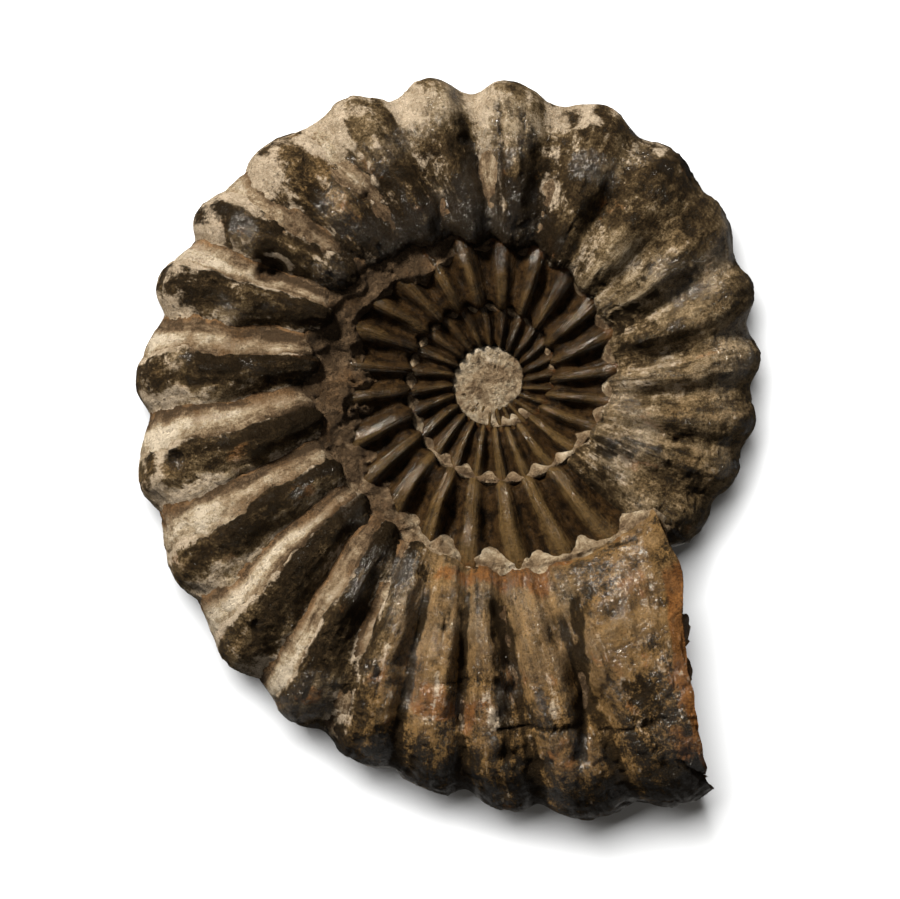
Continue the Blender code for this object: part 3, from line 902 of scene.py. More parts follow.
def weighed(tree, noises):
    """Sum of noises, each taken about its middle value of a half and times its weight."""
    total = None
    for noise, weight in noises:
        term = number(tree, "MULTIPLY", number(tree, "SUBTRACT", noise, 0.5), weight)
        total = term if total is None else number(tree, "ADD", total, term)
    return total


def ledges(tree, noise, *levels):
    """Broken layers: one step up, as narrow as a hair, at each level of a noise; 0 to 1 in all."""
    total = None
    for level in levels:
        step = ramp(tree, noise, level, level + 0.018)
        total = step if total is None else number(tree, "ADD", total, step)
    return number(tree, "DIVIDE", total, float(len(levels)))


def creases(tree, noise, width):
    """1 on the thin wandering lines where a noise passes its middle value, and 0 away from them."""
    away = number(tree, "ABSOLUTE", number(tree, "SUBTRACT", noise, 0.5))
    return ramp(tree, away, 0.0, width, (1.0, 0.0))


def pin_holes(tree, where, per_metre):
    """1 in small round holes strewn one to a cell, with a soft edge, and 0 between them."""
    cells = add_node(tree, "ShaderNodeTexVoronoi", [("Vector", where), ("Scale", per_metre)])
    return ramp(tree, cells.outputs["Distance"], 0.10, 0.30, (1.0, 0.0))


def ramp(tree, value, low, high, spread_to=(0.0, 1.0)):
    """Value spread from low..high to a new range by a smooth step."""
    inputs = [("Value", value), ("From Min", low), ("From Max", high)]
    inputs += [("To Min", spread_to[0]), ("To Max", spread_to[1])]
    return add_node(tree, "ShaderNodeMapRange", inputs, interpolation_type="SMOOTHSTEP").outputs[0]


def tint(tree, share, first, second):
    """First colour where share is 0, second where it is 1; either may be another node's output."""
    inputs = [(0, share), (6, first), (7, second)]
    return add_node(tree, "ShaderNodeMix", inputs, data_type="RGBA").outputs[2]


def bumped(tree, heights):
    """Normal from a chain of bumps: each a height output, its distance in metres and its strength."""
    normal = None
    for height, distance, strength in heights:
        inputs = [("Height", height), ("Distance", distance), ("Strength", strength)]
        if normal is not None:
            inputs.append(("Normal", normal))
        normal = add_node(tree, "ShaderNodeBump", inputs).outputs[0]
    return normal


def graded(tree, share, stops):
    """Colour read off a row of stops, each a place from 0 to 1 and a colour."""
    node = add_node(tree, "ShaderNodeValToRGB", [(0, share)])
    band = node.color_ramp
    band.interpolation = "EASE"
    while len(band.elements) < len(stops):
        band.elements.new(0.5)
    for element, (at, colour) in zip(band.elements, stops):
        element.position = at
        element.color = colour
    return node.outputs[0]


# Black of the shell, also used as painted shade.
BLACK_SHELL_AND_PAINTED_SHADE = (0.016, 0.0105, 0.0056, 1.0)
SHELL_STOPS = (
    (0.0, (0.016, 0.0110, 0.0062, 1.0)),
    (0.26, (0.044, 0.029, 0.0150, 1.0)),
    (0.48, (0.110, 0.077, 0.040, 1.0)),
    (0.72, (0.235, 0.176, 0.105, 1.0)),
    (1.0, (0.43, 0.350, 0.245, 1.0)),
)
# Pale dust, also used as painted light on the sides towards the lamp.
PALE_DUST_AND_PAINTED_LIGHT = (0.62, 0.525, 0.420, 1.0)
GOLDEN_BROWN = (0.32, 0.192, 0.074, 1.0)
GOLDEN_DARK = (0.095, 0.052, 0.019, 1.0)
RUST = (0.29, 0.118, 0.032, 1.0)
RUST_DARK = (0.11, 0.042, 0.014, 1.0)
# Tan dust, also used as painted light on the sides towards the lamp.
TAN_DUST_AND_PAINTED_LIGHT = (0.31, 0.242, 0.165, 1.0)
BROKEN_FACE = (0.36, 0.235, 0.125, 1.0)
BROKEN_DARK = (0.11, 0.055, 0.022, 1.0)
WARM_SHEEN = (1.0, 0.82, 0.60, 1.0)


def last_turn_stone():
    """Dark shell worn to olive and tan, black by the furrows (partly painted shade), chalky where flaked and
    painted paler towards the lamp, rusty at the break.
    """
    material, tree, shader = tree_of("last_turn_stone")
    where = add_node(tree, "ShaderNodeTexCoord").outputs["Object"]
    medium = grain(tree, where, 800.0, 5.0, 0.65)
    fine = grain(tree, where, 2600.0, 4.0, 0.7)
    dust = grain(tree, where, 6500.0, 3.0, 0.7)
    lines = streaks(tree, 7.0, 3.0)
    layers = ledges(tree, streaks(tree, 3.2, 2.6, 6.0, 0.6), 0.40, 0.48, 0.56)
    flakes = ledges(tree, grain(tree, where, 420.0, 6.0, 0.6), 0.42, 0.50, 0.58)
    wrinkles = creases(tree, grain(tree, where, 900.0, 3.0, 0.55), 0.022)
    holes = pin_holes(tree, where, 1300.0)
    patches = weighed(tree, ((medium, 1.0), (lines, 1.2), (layers, 0.22), (flakes, 0.22), (fine, 0.5)))
    spread = number(tree, "ADD", patches, weighed(tree, ((fine, 0.7), (dust, 1.0), (wrinkles, 0.12))))
    share = number(tree, "ADD", attribute(tree, "weathered"), spread, clamp=True)
    colour = graded(tree, share, SHELL_STOPS)
    golden = number(tree, "ADD", attribute(tree, "golden"), number(tree, "MULTIPLY", patches, 0.8))
    golden = number(tree, "MULTIPLY", ramp(tree, golden, 0.25, 1.0), ramp(tree, share, 0.10, 0.5))
    golden_brown = tint(tree, ramp(tree, spread, -0.5, 0.5), GOLDEN_DARK, GOLDEN_BROWN)
    colour = tint(tree, number(tree, "MULTIPLY", golden, 0.85), colour, golden_brown)
    rusty = ramp(tree, number(tree, "ADD", attribute(tree, "rust"), patches), 0.50, 1.00)
    rust = tint(tree, ramp(tree, spread, -0.4, 0.5), RUST_DARK, RUST)
    colour = tint(tree, number(tree, "MULTIPLY", rusty, 0.8), colour, rust)
    # Chalk, and painted light: the mask pales the sides and the rim towards the lamp as well as chalky
    # places.
    chalk_and_painted_light = number(tree, "ADD", attribute(tree, "chalk_and_painted_light"), number(tree, "MULTIPLY", patches, 1.1))
    chalk_and_painted_light = ramp(tree, chalk_and_painted_light, 0.32, 0.74)
    dust_and_painted_light = tint(tree, ramp(tree, spread, -0.5, 0.45), TAN_DUST_AND_PAINTED_LIGHT, PALE_DUST_AND_PAINTED_LIGHT)
    colour = tint(tree, number(tree, "MULTIPLY", chalk_and_painted_light, 0.92), colour, dust_and_painted_light)
    # Black shell, and painted shade from the mask: walls, shaded sides, furrows, grooves and low spots
    # blackened; pores blackened too.
    black_and_painted_shade = number(tree, "ADD", attribute(tree, "black_and_painted_shade"), number(tree, "MULTIPLY", patches, -0.9))
    pores = number(tree, "MULTIPLY", holes, ramp(tree, medium, 0.48, 0.60, (0.0, 0.6)))
    black_and_painted_shade = number(tree, "MAXIMUM", ramp(tree, black_and_painted_shade, 0.32, 0.80), pores)
    colour = tint(tree, number(tree, "MULTIPLY", black_and_painted_shade, 0.92), colour, BLACK_SHELL_AND_PAINTED_SHADE)
    face = tint(tree, ramp(tree, spread, -0.35, 0.45), BROKEN_DARK, BROKEN_FACE)
    colour = tint(tree, number(tree, "MULTIPLY", attribute(tree, "broken"), 0.9), colour, face)
    tree.links.new(colour, shader.inputs["Base Color"])
    rough = number(tree, "ADD", number(tree, "MULTIPLY", share, 0.35), number(tree, "MULTIPLY", fine, 0.35))
    rough = number(tree, "ADD", rough, number(tree, "MULTIPLY", chalk_and_painted_light, 0.3))
    rough = number(tree, "ADD", rough, 0.25, clamp=True)
    tree.links.new(rough, shader.inputs["Roughness"])
    shader.inputs["Specular IOR Level"].default_value = 0.08
    shader.inputs["Specular Tint"].default_value = WARM_SHEEN
    gloss = ramp(tree, number(tree, "SUBTRACT", attribute(tree, "gloss"), patches), 0.20, 0.90, (0.0, 1.0))
    tree.links.new(gloss, shader.inputs["Coat Weight"])
    shader.inputs["Coat Roughness"].default_value = 0.13
    shader.inputs["Coat IOR"].default_value = 1.5
    swells = grain(tree, where, 750.0, 2.0, 0.5)
    smoother = bumped(tree, (
        (swells, 0.0007, 1.0), (lines, 0.00035, 1.0), (layers, 0.00018, 1.0), (flakes, 0.00018, 1.0),
        (fine, 0.00012, 1.0),
    ))
    tree.links.new(smoother, shader.inputs["Coat Normal"])
    normal = bumped(tree, (
        (medium, 0.0012, 0.8), (lines, 0.0010, 0.8), (layers, 0.00040, 1.0), (flakes, 0.00036, 1.0),
        (wrinkles, 0.00010, 1.0), (fine, 0.0008, 1.0), (dust, 0.00030, 1.0),
        (number(tree, "SUBTRACT", 1.0, pores), 0.00014, 1.0),
    ))
    tree.links.new(normal, shader.inputs["Normal"])
    return material


last_turn = build_last_turn()
last_turn.data.materials.append(last_turn_stone())
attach(last_turn, "root")
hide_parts("ammonite")

# The inner turns: the same shell, small and close-ribbed, cleaned down to its dark, glossy surface. One tube
# from under the plug of sediment to the furrow where the last turn takes over.
INNER_FIRST_ANGLE = -885.0
INNER_COLUMNS = 1040
INNER_ROWS = (22, 26, 26, 14)
INNER_FLANK_END = 0.32 * np.pi
INNER_DEEPER = 1.6
INNER_NARROW = 1.2
FULL_RELIEF_FROM = 10.714 * MM


def inner_bends(rows):
    """Section places, close together where the flanks show and far apart over the hidden venter."""
    half = 0.5 * np.pi
    return np.concatenate([
        np.linspace(2.0 * half, half, rows[0], endpoint=False),
        np.linspace(half, INNER_FLANK_END, rows[1], endpoint=False),
        np.linspace(INNER_FLANK_END, -INNER_FLANK_END, 9, endpoint=False),
        np.linspace(-INNER_FLANK_END, -half, rows[2] // 2, endpoint=False),
        np.linspace(-half, -2.0 * half, rows[3]),
    ])


def turned_from(angle, middle):
    """Degrees from a middle angle to an angle, at most half a turn either way."""
    return (angle - middle + 0.5 * TURN) % TURN - 0.5 * TURN


def build_inner_turns():
    """The inner turns as one closed tube, its ribs rounded and finely lined, both ends sunk out of sight."""
    columns = column_angles(INNER_COLUMNS, INNER_FIRST_ANGLE, HANDOVER_ANGLE + HANDOVER_LAP, 3000, 0.7)
    column, bend, angle, share, level = swept_columns(columns, inner_bends(INNER_ROWS))
    tube = whorl(angle)
    radius, height = tube_section(angle, bend)
    points = place(angle, radius, height)
    count = rib_count(angle, share) + 0.05 * lumps(points, 4.0 * MM, 31)
    groove = furrow_wave(count) ** INNER_NARROW
    depth = INNER_DEEPER * furrow_depth(angle) * groove * furrow_gain(angle, radius, bend)
    relief = layered(points, (0.07, 2.4, 32), (0.04, 0.9, 33), (0.03, 0.4, 34))
    relief += 0.10 * along_ribs(count, share, bend, 6.0, 3.0, 35)
    relief += 0.12 * along_ribs(count, share, bend, 2.3, 1.2, 36)
    relief *= MM * np.clip((tube.venter - tube.seam) / FULL_RELIEF_FROM, 0.3, 1.0)
    lap = np.clip((column - HANDOVER_ANGLE + HANDOVER_LAP) / (2.0 * HANDOVER_LAP), 0.0, 1.0)
    push = relief - depth - HANDOVER_SINK * lap
    radius, height = radius + push * np.cos(bend), height + push * np.sin(bend)
    radius, height = tucked_in(radius, height, angle, depth)
    outward = np.clip((radius - with_tuck(tube.seam)) / with_tuck(tube.next_seam - tube.seam), 0.0, 1.2)
    # The crests' olive fades to a quarter from about 25 to 185 degrees, where the last turn casts its shadow:
    # painted shade, partly their own colour.
    olive = 0.25 + 0.75 * window(turned_from(angle, 285.0), 0.0, 100.0) + 0.5 * lumps(points, 3.0 * MM, 37)
    masks = {
        "groove": with_tuck(groove),
        "outward": outward,
        "rib_place": with_tuck(count),
        "rib_share": with_tuck(share),
        "olive": with_tuck(np.clip(olive, 0.0, 1.0)),
    }
    shape = (with_tuck(angle), radius, height, with_tuck(share), with_tuck(level))
    return closed_tube("inner_turns", shape, masks, {0: "sunk", -1: "sunk"})


GLOSSY_BLACK = (0.0095, 0.0055, 0.0026, 1.0)
GLOSSY_BROWN = (0.048, 0.026, 0.0095, 1.0)
CREST_OLIVE = (0.150, 0.094, 0.036, 1.0)


def inner_stone():
    """Dark brown to black shell, glossy in streaks, olive on the crests save on the upper side (painted
    shade), rusty at the ribs' outer ends.
    """
    material, tree, shader = tree_of("inner_stone")
    where = add_node(tree, "ShaderNodeTexCoord").outputs["Object"]
    medium = grain(tree, where, 1100.0, 5.0, 0.65)
    fine = grain(tree, where, 4200.0, 4.0, 0.7)
    lines = streaks(tree, 9.0, 1.2, 6.0, 0.75)
    colour = tint(tree, ramp(tree, medium, 0.35, 0.65), GLOSSY_BLACK, GLOSSY_BROWN)
    crest = number(tree, "SUBTRACT", 0.52, attribute(tree, "groove"))
    crest = number(tree, "ADD", crest, weighed(tree, ((fine, 0.8), (lines, 1.4), (medium, 0.6))))
    # The olive mask holds the crests dark on the upper side: painted shade.
    crest = number(tree, "MULTIPLY", ramp(tree, crest, 0.0, 0.75), attribute(tree, "olive"))
    colour = tint(tree, crest, colour, CREST_OLIVE)
    rim = number(tree, "ADD", attribute(tree, "outward"), number(tree, "MULTIPLY", medium, 0.8))
    colour = tint(tree, ramp(tree, rim, 1.30, 1.55, (0.0, 0.5)), colour, RUST_DARK)
    tree.links.new(colour, shader.inputs["Base Color"])
    tree.links.new(ramp(tree, fine, 0.2, 0.8, (0.35, 0.6)), shader.inputs["Roughness"])
    shader.inputs["Specular IOR Level"].default_value = 0.05
    gloss = number(tree, "ADD", attribute(tree, "groove"), number(tree, "MULTIPLY", medium, 0.6))
    worn = ramp(tree, streaks(tree, 9.0, 5.0, 5.0, 0.7), 0.43, 0.58, (0.12, 1.0))
    gloss = number(tree, "MULTIPLY", ramp(tree, gloss, 0.30, 1.00, (0.85, 0.05)), worn)
    tree.links.new(gloss, shader.inputs["Coat Weight"])
    shader.inputs["Coat Roughness"].default_value = 0.10
    shader.inputs["Coat IOR"].default_value = 1.5
    threads = streaks(tree, 8.0, 0.5, 2.0, 0.45)
    smoother = bumped(tree, (
        (threads, 0.00045, 1.0), (lines, 0.00014, 1.0), (medium, 0.00008, 1.0), (fine, 0.00003, 1.0),
    ))
    tree.links.new(smoother, shader.inputs["Coat Normal"])
    normal = bumped(tree, (
        (threads, 0.0007, 1.0), (medium, 0.0007, 0.8), (lines, 0.0007, 0.8), (fine, 0.00035, 1.0),
    ))
    tree.links.new(normal, shader.inputs["Normal"])
    return material


inner_turns = build_inner_turns()
inner_turns.data.materials.append(inner_stone())
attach(inner_turns, "root")

# The sediment in the last turn's furrows: fine pale mud turned to stone. It is one core just under the shell
# that comes up where the furrows are filled, and dies away under the ribs.
FILL_COLUMNS = 620
FILL_ROWS = (22, 64, 22, 10)
FILL_END_BACK = 0.8
SEDIMENT_GROUND = 0.03 * MM


def fill_masks(points, angle, share, bend, count, cover, holes):
    """How pale and how stained the fill is, from 0 to 1, from how thickly it covers the shell; on the left,
    painted light on the slope towards the lamp and painted shade under the rib above.
    """
    phase = count - np.floor(count)
    on_left = window(angle, 198.0, 75.0) ** 0.5
    drawn = along_ribs(count, share, bend, 5.0, 2.0, 57)
    # Painted light: paler on the left furrows' slope towards the lamp, and paler before 140 degrees.
    lit = window(phase, 0.66, 0.26) * on_left + 0.5 * step_up(140.0 - angle, 0.0, 20.0)
    pale = 0.20 + 0.18 * step_up(cover, 0.0, 0.55 * MM) + 0.46 * lit + 0.26 * lumps(points, 3.0 * MM, 55)
    pale += 0.25 * drawn - 0.30 * (1.0 - step_up(share, 0.15, 0.45)) + 0.22 * step_up(share, 0.55, 0.3)
    # Painted shade: darker on the left furrows' slope under the rib above; darker underneath too.
    pale -= 0.50 * on_left * (1.0 - step_up(phase, 0.38, 0.34)) + 0.35 * step_up(-bend, -0.2, 0.8)
    pale += 0.3 * window(from_oval_pit(points), 1.35, 0.38) - 3.0 * step_up(holes, 0.04 * MM, 0.12 * MM)
    thin = (1.0 - step_up(cover, 0.05 * MM, 0.55 * MM)) * window(phase, 0.38, 0.26)
    stained = thin * (0.75 + 0.8 * lumps(points, 2.6 * MM, 58)) + 0.35 * step_up(drawn, 0.15, 0.35)
    stained *= 0.3 + 0.7 * window(angle, 198.0, 70.0) ** 0.4
    return {"pale": np.clip(pale, 0.0, 1.0), "stained": np.clip(stained, 0.0, 1.0)}


def build_furrow_fill():
    """The furrow fill as one closed tube, hollowed along each furrow and roughened with crumbs."""
    columns = column_angles(FILL_COLUMNS, HANDOVER_ANGLE, LAST_ANGLE - FILL_END_BACK, 2000, 1.0)
    _, bend, angle, share, level = swept_columns(columns, section_bends(FILL_ROWS))
    radius, height = tube_section(angle, bend)
    points = place(angle, radius, height)
    count, hollow = ribbed(points, angle, share)
    deep = full_depth(angle, share, radius, bend)
    holes = pitted(points, step_up(bend, 0.0, 0.5))
    below = fill_level(points, angle, share, bend, count, hollow, deep) + holes
    cover = deep * hollow**1.25 - shell_wear(points, angle, share, bend, count).height - below
    masks = fill_masks(points, angle, share, bend, count, cover, holes)
    masks |= {"rib_place": count, "rib_share": share}
    radius, height = radius - below * np.cos(bend), height - below * np.sin(bend)
    radius, height = tucked_in(radius, height, angle, deep)
    return closed_tube(
        "furrow_fill",
        (with_tuck(angle), radius, height, with_tuck(share), with_tuck(level)),
        {label: with_tuck(mask) for label, mask in masks.items()},
        {0: "sunk", -1: "mouth"},
        SEDIMENT_GROUND,
    )


SEDIMENT_STOPS = (
    (0.0, (0.062, 0.038, 0.019, 1.0)),
    (0.25, (0.135, 0.088, 0.050, 1.0)),
    (0.50, (0.27, 0.198, 0.124, 1.0)),
    (0.75, (0.46, 0.378, 0.270, 1.0)),
    (1.0, (0.70, 0.615, 0.500, 1.0)),
)
SEDIMENT_STAIN = (0.16, 0.085, 0.034, 1.0)
SEDIMENT_RUST = (0.26, 0.148, 0.068, 1.0)
SEDIMENT_DARK = (0.055, 0.034, 0.018, 1.0)


def sediment():
    """Fine mudstone from brown to cream, stained ochre in patches, with dark specks and a dry grain."""
    material, tree, shader = tree_of("sediment")
    where = add_node(tree, "ShaderNodeTexCoord").outputs["Object"]
    broad = grain(tree, where, 260.0)
    medium = grain(tree, where, 1000.0, 5.0, 0.65)
    fine = grain(tree, where, 3000.0, 4.0, 0.75)
    dust = grain(tree, where, 7500.0, 3.0, 0.7)
    holes = pin_holes(tree, where, 1500.0)
    lines = streaks(tree, 6.0, 1.6)
    layers = ledges(tree, streaks(tree, 3.5, 2.0, 6.0, 0.6), 0.42, 0.52)
    flakes = ledges(tree, grain(tree, where, 500.0, 6.0, 0.65), 0.44, 0.54)
    noises = ((medium, 0.9), (fine, 0.9), (dust, 0.7), (lines, 1.9), (layers, 0.14), (flakes, 0.14))
    spread = weighed(tree, noises)
    share = number(tree, "ADD", attribute(tree, "pale"), spread, clamp=True)
    colour = graded(tree, share, SEDIMENT_STOPS)
    stain = number(tree, "ADD", number(tree, "MULTIPLY", broad, 0.5), number(tree, "MULTIPLY", lines, 0.5))
    stain = number(tree, "ADD", stain, number(tree, "MULTIPLY", fine, 0.2))
    colour = tint(tree, ramp(tree, stain, 0.60, 0.74, (0.0, 0.65)), colour, SEDIMENT_STAIN)
    rusty = number(tree, "ADD", attribute(tree, "stained"), number(tree, "MULTIPLY", spread, 0.6))
    colour = tint(tree, ramp(tree, rusty, 0.25, 0.85, (0.0, 0.75)), colour, SEDIMENT_RUST)
    dark = number(tree, "MULTIPLY", holes, ramp(tree, medium, 0.45, 0.6, (0.0, 0.5)))
    colour = tint(tree, dark, colour, SEDIMENT_DARK)
    tree.links.new(colour, shader.inputs["Base Color"])
    tree.links.new(ramp(tree, fine, 0.2, 0.8, (0.72, 0.95)), shader.inputs["Roughness"])
    shader.inputs["Specular IOR Level"].default_value = 0.2
    normal = bumped(tree, (
        (medium, 0.0011, 0.9), (layers, 0.00030, 1.0), (flakes, 0.00030, 1.0), (fine, 0.0009, 1.0),
        (dust, 0.00035, 1.0), (number(tree, "SUBTRACT", 1.0, holes), 0.00010, 0.7),
    ))
    tree.links.new(normal, shader.inputs["Normal"])
    return material


mudstone = sediment()
furrow_fill = build_furrow_fill()
furrow_fill.data.materials.append(mudstone)
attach(furrow_fill, "root")

# The sediment over the heart: the round plug in the middle, the thin fill along each seam, and the broad
# crumbly belt at the foot of the last turn's wall. One lens of rock, thin where the shell shows through.
HEART_COLUMNS = 480
HEART_TOP_ROWS = 135
HEART_UNDER_ROWS = 62
HEART_RADIUS = 22.8 * MM
PLUG_RISE = 1.0 * MM
PLUG_PALE = 0.52
HEART_CLEARANCE = 0.9 * MM
OUT_OF_SIGHT = 9.0 * MM

# Along the seam's total angle: lift of the sediment over the crests, how far it lies level on the turn
# inside the seam and up the turn beyond it, its climb there, how crumbly it is and how pale. Lengths are in
# millimetres.
SEAM_LIFT = (
    (-760, -0.4), (-300, -0.35), (-220, -0.30), (-170, -0.10), (-130, 0.04), (-60, 0.02),
    (-20, -0.2), (20, -0.25), (50, -0.5), (70, -1.0), (98, -0.9), (130, 0.2), (200, 0.40),
    (245, 0.10), (262, -0.08), (300, 0.0), (322, 0.1),
)
SEAM_REACH = (
    (-760, 0.05), (-230, 0.05), (-170, 0.10), (-130, 0.14), (-60, 0.14), (-20, 0.1), (30, 0.05),
    (80, 0.2), (120, 0.9), (180, 1.4), (215, 1.0), (250, 0.45), (322, 0.2),
)
SEAM_WIDTH = (
    (-760, 0.3), (-200, 0.3), (-130, 0.25), (-60, 0.25), (0, 0.4), (60, 0.7), (100, 1.8), (165, 3.7),
    (220, 2.2), (262, 1.0), (322, 0.5),
)
SEAM_CLIMB = ((-760, 0.1), (60, 0.1), (100, 0.3), (240, 0.3), (322, 0.2))
SEAM_CRUMBLE = (
    (-760, 0.0), (-220, 0.0), (-130, 0.08), (-60, 0.08), (40, 0.1), (100, 0.9), (160, 1.1), (220, 0.6),
    (322, 0.5),
)
SEAM_PALE = (
    (-760, 0.22), (-170, 0.22), (-130, 0.32), (-60, 0.32), (0, 0.28), (60, 0.12), (100, -0.05),
    (200, -0.02), (235, 0.28), (262, 0.48), (322, 0.44),
)


def local_whorl(angle, radius):
    """Total angle of the tube seen at a place from above: that of the last turn whose seam is inside it.

    Beyond the broken mouth it is the turn before.
    """
    share = flank_share(whorl(angle), radius)
    past_break = (angle > set_back(LAST_ANGLE, share, 1.0) - 2.0) & (share > 0.0)
    total = np.where(past_break, angle - TURN, angle)
    for _ in range(3):
        total = np.where(radius < seam_radius(total), total - TURN, total)
    return total


def crest_height(total, radius):
    """Height of the tube over its rib crests at a radius, from the section turned the other way."""
    tube = whorl(total)
    foot = tube.seam + BELT_WIDTH * belt(total)
    base = seam_height(total)
    climb = np.clip((radius - foot) / (tube.thickest - foot), 0.0, 1.0)
    wall = base + (tube.half_thickness - base) * rounded(1.0 - climb)
    return np.where(radius < tube.thickest, wall, tube.half_thickness * rounded(past_thickest(tube, radius)))


def seam_fill(angle, radius, total, crest, ragged, broad):
    """Height of the sediment along the seams.

    On the turn inside a seam it covers the crests by a lift, level for a reach and then sloping off, so that
    it runs out in teeth between the ribs. On the turn beyond it climbs for a width and then drops away.
    """
    tube = whorl(total)
    inside = np.maximum(tube.next_seam - radius, 0.0)
    beyond = np.maximum(radius - tube.seam, 0.0)
    lift = (straight(SEAM_LIFT, total + TURN) + 0.10 * ragged) * MM
    reach = straight(SEAM_REACH, total + TURN) * MM * (1.0 + 0.55 * ragged + 1.5 * broad)
    teeth = crest + lift - 1.25 * np.maximum(inside - reach, 0.0) - OUT_OF_SIGHT * (total > LAST_TURN_ANGLE)
    width = straight(SEAM_WIDTH, total) * MM
    lift = (straight(SEAM_LIFT, total) + 0.10 * ragged) * MM
    shelf = seam_height(total) + lift + straight(SEAM_CLIMB, total) * np.minimum(beyond, width)
    shelf = shelf - 2.2 * np.maximum(beyond - width * (1.0 + 0.25 * ragged), 0.0)
    shelf = shelf - OUT_OF_SIGHT * (radius < seam_radius(angle - 3 * TURN))
    return np.where(beyond > 0.0, np.maximum(teeth, shelf), teeth)


def with_plug(angle, radius, ragged, level):
    """Height with the plug laid over the middle: round, a little dished, a crescent sunk in one side."""
    plug_edge = seam_radius(angle - 2 * TURN) + 0.10 * MM * ragged
    crescent = window(turned_from(angle, 305.0), 0.0, 55.0) * window(radius, 3.2 * MM, 0.8 * MM)
    plug = PLUG_RISE - 0.60 * MM * crescent - 3.0 * np.maximum(radius - plug_edge, 0.0)
    plug = plug + 0.25 * MM * step_up(radius, 2.2 * MM, 1.4 * MM)
    near_plug = np.maximum(np.where(radius < plug_edge, -OUT_OF_SIGHT, level), plug)
    return np.where(radius < plug_edge + 1.0 * MM, near_plug, level)


def heart_height(angle, radius, side):
    """Height of the sediment, how thick it lies on the shell, and how pale it is by its seam."""
    heading = np.radians(angle)
    own_side = np.full_like(radius, side * 9.0 * MM)
    flat = np.stack([radius * np.cos(heading), radius * np.sin(heading), own_side], axis=-1)
    total = local_whorl(angle, radius)
    tube = whorl(total)
    crest = crest_height(total, radius)
    deep = furrow_depth(total)
    ragged = layered(flat, (1.2, 2.8, 61), (0.9, 1.2, 62), (0.45, 0.5, 63))
    level = seam_fill(angle, radius, total, crest, ragged, lumps(flat, 5.5 * MM, 72))
    level = with_plug(angle, radius, ragged, level)
    nearest_seam = np.where(tube.next_seam - radius < radius - tube.seam, total + TURN, total)
    rough = layered(flat, (0.15, 1.8, 64), (0.13, 0.8, 65), (0.08, 0.4, 66))
    away, lot = specks(flat, 0.9 * MM, 67)
    rough -= 0.16 * (1.0 - step_up(away, 0.12, 0.14)) * (lot > 0.75)
    blocks = 0.30 * step_up(lumps(flat, 2.6 * MM, 68), 0.0, 0.10) + 0.2 * lumps(flat, 1.3 * MM, 70)
    rough += straight(SEAM_CRUMBLE, nearest_seam) * blocks
    deepest = crest - deep - HEART_CLEARANCE - 0.4 * MM * (radius > 4.5 * MM)
    height = np.maximum(level + rough * MM, deepest)
    share = flank_share(tube, radius)
    hollow = furrow_wave(rib_count(total + RIB_LEAN * (1.0 - share), share)) ** INNER_NARROW
    return height, height - crest + INNER_DEEPER * deep * hollow, straight(SEAM_PALE, nearest_seam)


def build_heart():
    """Two height fields over a polar grid, upper and lower, that meet at a rim hidden in the last turn."""
    angles = np.linspace(LAST_TURN_ANGLE, LAST_ANGLE, HEART_COLUMNS, endpoint=False)
    fields = []
    for side, rows in ((1, HEART_TOP_ROWS), (-1, HEART_UNDER_ROWS)):
        radius = HEART_RADIUS * np.linspace(1.0, 0.0, rows + 1)[:-1] + np.zeros((HEART_COLUMNS, 1))
        angle = angles[:, None] + np.zeros_like(radius)
        height, cover, pale = heart_height(angle, radius, side)
        fields.append((place(angle, radius, side * height, SEDIMENT_GROUND), cover, pale))
    middles = [field[0][:, -1].mean(axis=0) for field in fields]
    section, cover, by_seam = (np.concatenate([top[:, ::-1], under], axis=1) for top, under in zip(*fields))
    columns, rows = section.shape[:2]
    column = np.arange(columns)[:, None] * rows
    ahead = (np.arange(columns)[:, None] + 1) % columns * rows
    row = np.arange(rows - 1)[None, :]
    quads = np.stack([column + row, ahead + row, ahead + row + 1, column + row + 1], axis=-1).reshape(-1, 4)
    ring = np.arange(columns) * rows
    triangles = np.concatenate([
        fan_faces(ring, columns * rows)[:, ::-1],
        fan_faces(ring + rows - 1, columns * rows + 1),
    ])
    vertices = np.concatenate([section.reshape(-1, 3), np.array(middles)])
    radius = np.hypot(*from_axis(vertices))
    cover = np.append(cover.ravel(), [PLUG_RISE, PLUG_RISE])
    by_seam = np.append(by_seam.ravel(), [PLUG_PALE, PLUG_PALE])
    edge = 1.0 - step_up(cover, 0.15 * MM, 0.5 * MM)
    pale = by_seam + (PLUG_PALE - by_seam) * (1.0 - step_up(radius, 3.9 * MM, 0.8 * MM))
    pale += 0.16 * edge + layered(vertices, (0.20, 3.0, 69), (0.16, 1.5, 71))
    return add_mesh("heart_sediment", vertices, quads, triangles, {"pale": np.clip(pale, 0.0, 1.0)})


heart_sediment = build_heart()
heart_sediment.data.materials.append(mudstone)
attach(heart_sediment, "root")

# The studio: a plain white table, one soft key light from the upper left, and the camera straight above.
TABLE_SIZE = 3.0
PICTURE_X = 0.25 * MM
PICTURE_Y = -0.30 * MM
PICTURE_LEVEL = 8.45 * MM
PICTURE_WIDTH = 90.0 * MM
CAMERA_HEIGHT = 0.75
SENSOR_MILLIMETRES = 36.0
KEY_HEADING = 126.0
KEY_ELEVATION = 37.0
KEY_DISTANCE = 0.9
KEY_SIZE = 0.20
KEY_WATTS = 23.0
KEY_COLOUR = (1.0, 0.92, 0.79)
TABLE_LIGHT_PLACE = (-0.055, 0.125, 0.5)
TABLE_LIGHT_SIZE = 0.22
TABLE_LIGHT_WATTS = 15.0
WORLD_STRENGTH = 0.23
WORLD_COLOUR = (1.0, 0.95, 0.88, 1.0)
TABLE_GREYS = ((0.31, 0.31, 0.31, 1.0), (0.32, 0.32, 0.32, 1.0))


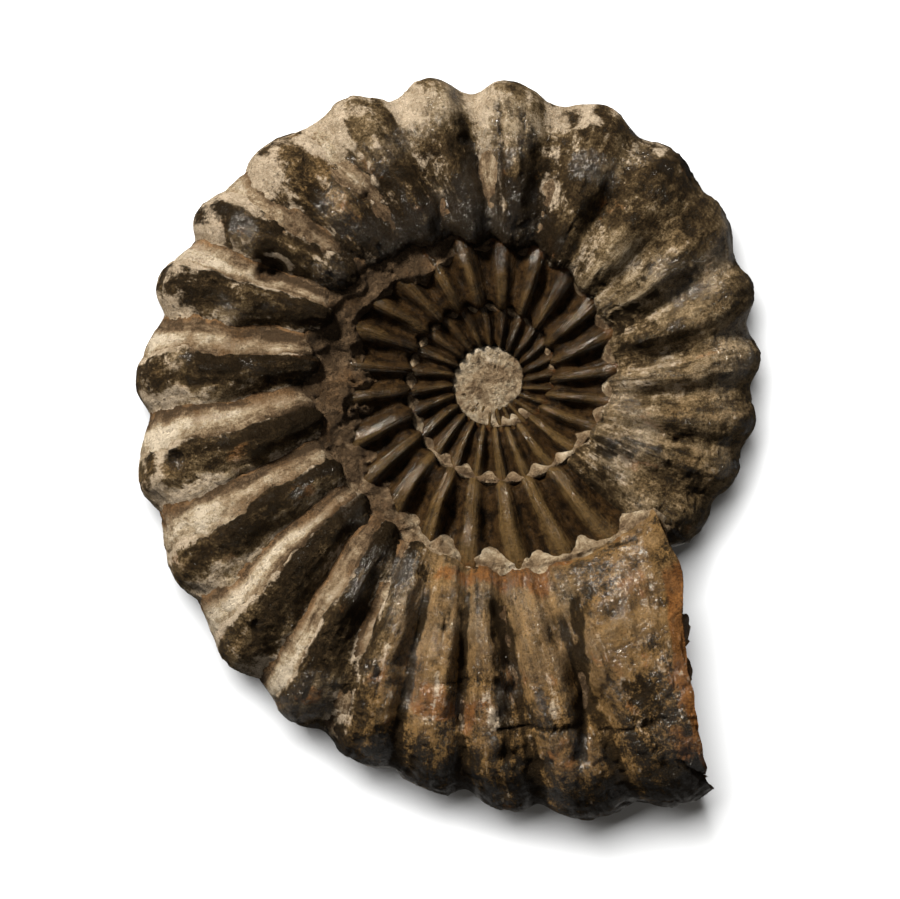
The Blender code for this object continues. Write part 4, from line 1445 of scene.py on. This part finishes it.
def table_paint():
    """Matt white with the faintest unevenness."""
    material, tree, shader = tree_of("table_paint")
    where = add_node(tree, "ShaderNodeTexCoord").outputs["Object"]
    shade = grain(tree, where, 6.0)
    colour = tint(tree, shade, *TABLE_GREYS)
    tree.links.new(colour, shader.inputs["Base Color"])
    shader.inputs["Roughness"].default_value = 0.85
    return material


half_table = 0.5 * TABLE_SIZE
table_data = bpy.data.meshes.new("table")
table_data.from_pydata(
    [(-half_table, -half_table, 0.0), (half_table, -half_table, 0.0),
     (half_table, half_table, 0.0), (-half_table, half_table, 0.0)],
    [], [(0, 1, 2, 3)],
)
table = bpy.data.objects.new("table", table_data)
bpy.context.scene.collection.objects.link(table)
table_data.materials.append(table_paint())
table.visible_diffuse = False
table.visible_glossy = False


def aim(thing, at, target):
    """Puts a light or the camera at a place, looking at a target, with its top towards +Y or up."""
    heading = np.array(target) - np.array(at)
    thing.location = at
    thing.rotation_euler = Vector(heading).to_track_quat("-Z", "Y").to_euler()


def area_light(name, shape, size, watts, colour, at, target, pieces):
    """A square or round light at a place, aimed at a target, that lights the given pieces only."""
    data = bpy.data.lights.new(name, "AREA")
    data.shape = shape
    data.size = size
    data.energy = watts
    data.color = colour
    light = bpy.data.objects.new(name, data)
    bpy.context.scene.collection.objects.link(light)
    aim(light, at, target)
    lit = bpy.data.collections.new("lit_by_" + name)
    for piece in pieces:
        lit.objects.link(piece)
    light.light_linking.receiver_collection = lit


heading = np.radians(KEY_HEADING)
elevation = np.radians(KEY_ELEVATION)
towards_key = (np.cos(elevation) * np.cos(heading), np.cos(elevation) * np.sin(heading), np.sin(elevation))
area_light(
    "key", "DISK", KEY_SIZE, KEY_WATTS, KEY_COLOUR, tuple(KEY_DISTANCE * part for part in towards_key),
    (0.0, 0.0, PICTURE_LEVEL), (last_turn, inner_turns, furrow_fill, heart_sediment),
)
# A broad light above the far edge, kept off the fossil, so that the table stays white and its shadow soft.
area_light(
    "table_light", "SQUARE", TABLE_LIGHT_SIZE, TABLE_LIGHT_WATTS, (1.0, 1.0, 1.0), TABLE_LIGHT_PLACE,
    (0.0, 0.0, 0.0), (table,),
)

world = bpy.data.worlds.new("studio")
bpy.context.scene.world = world
world.use_nodes = True
world.node_tree.nodes["Background"].inputs["Color"].default_value = WORLD_COLOUR
world.node_tree.nodes["Background"].inputs["Strength"].default_value = WORLD_STRENGTH
bpy.context.scene.view_settings.view_transform = "Standard"

camera_data = bpy.data.cameras.new("camera")
camera_data.sensor_width = SENSOR_MILLIMETRES
camera_data.lens = SENSOR_MILLIMETRES * (CAMERA_HEIGHT - PICTURE_LEVEL) / PICTURE_WIDTH
camera_data.clip_start = 0.01
camera_data.clip_end = 20.0
camera = bpy.data.objects.new("camera", camera_data)
camera.location = (PICTURE_X, PICTURE_Y, CAMERA_HEIGHT)
bpy.context.scene.collection.objects.link(camera)
bpy.context.scene.camera = camera
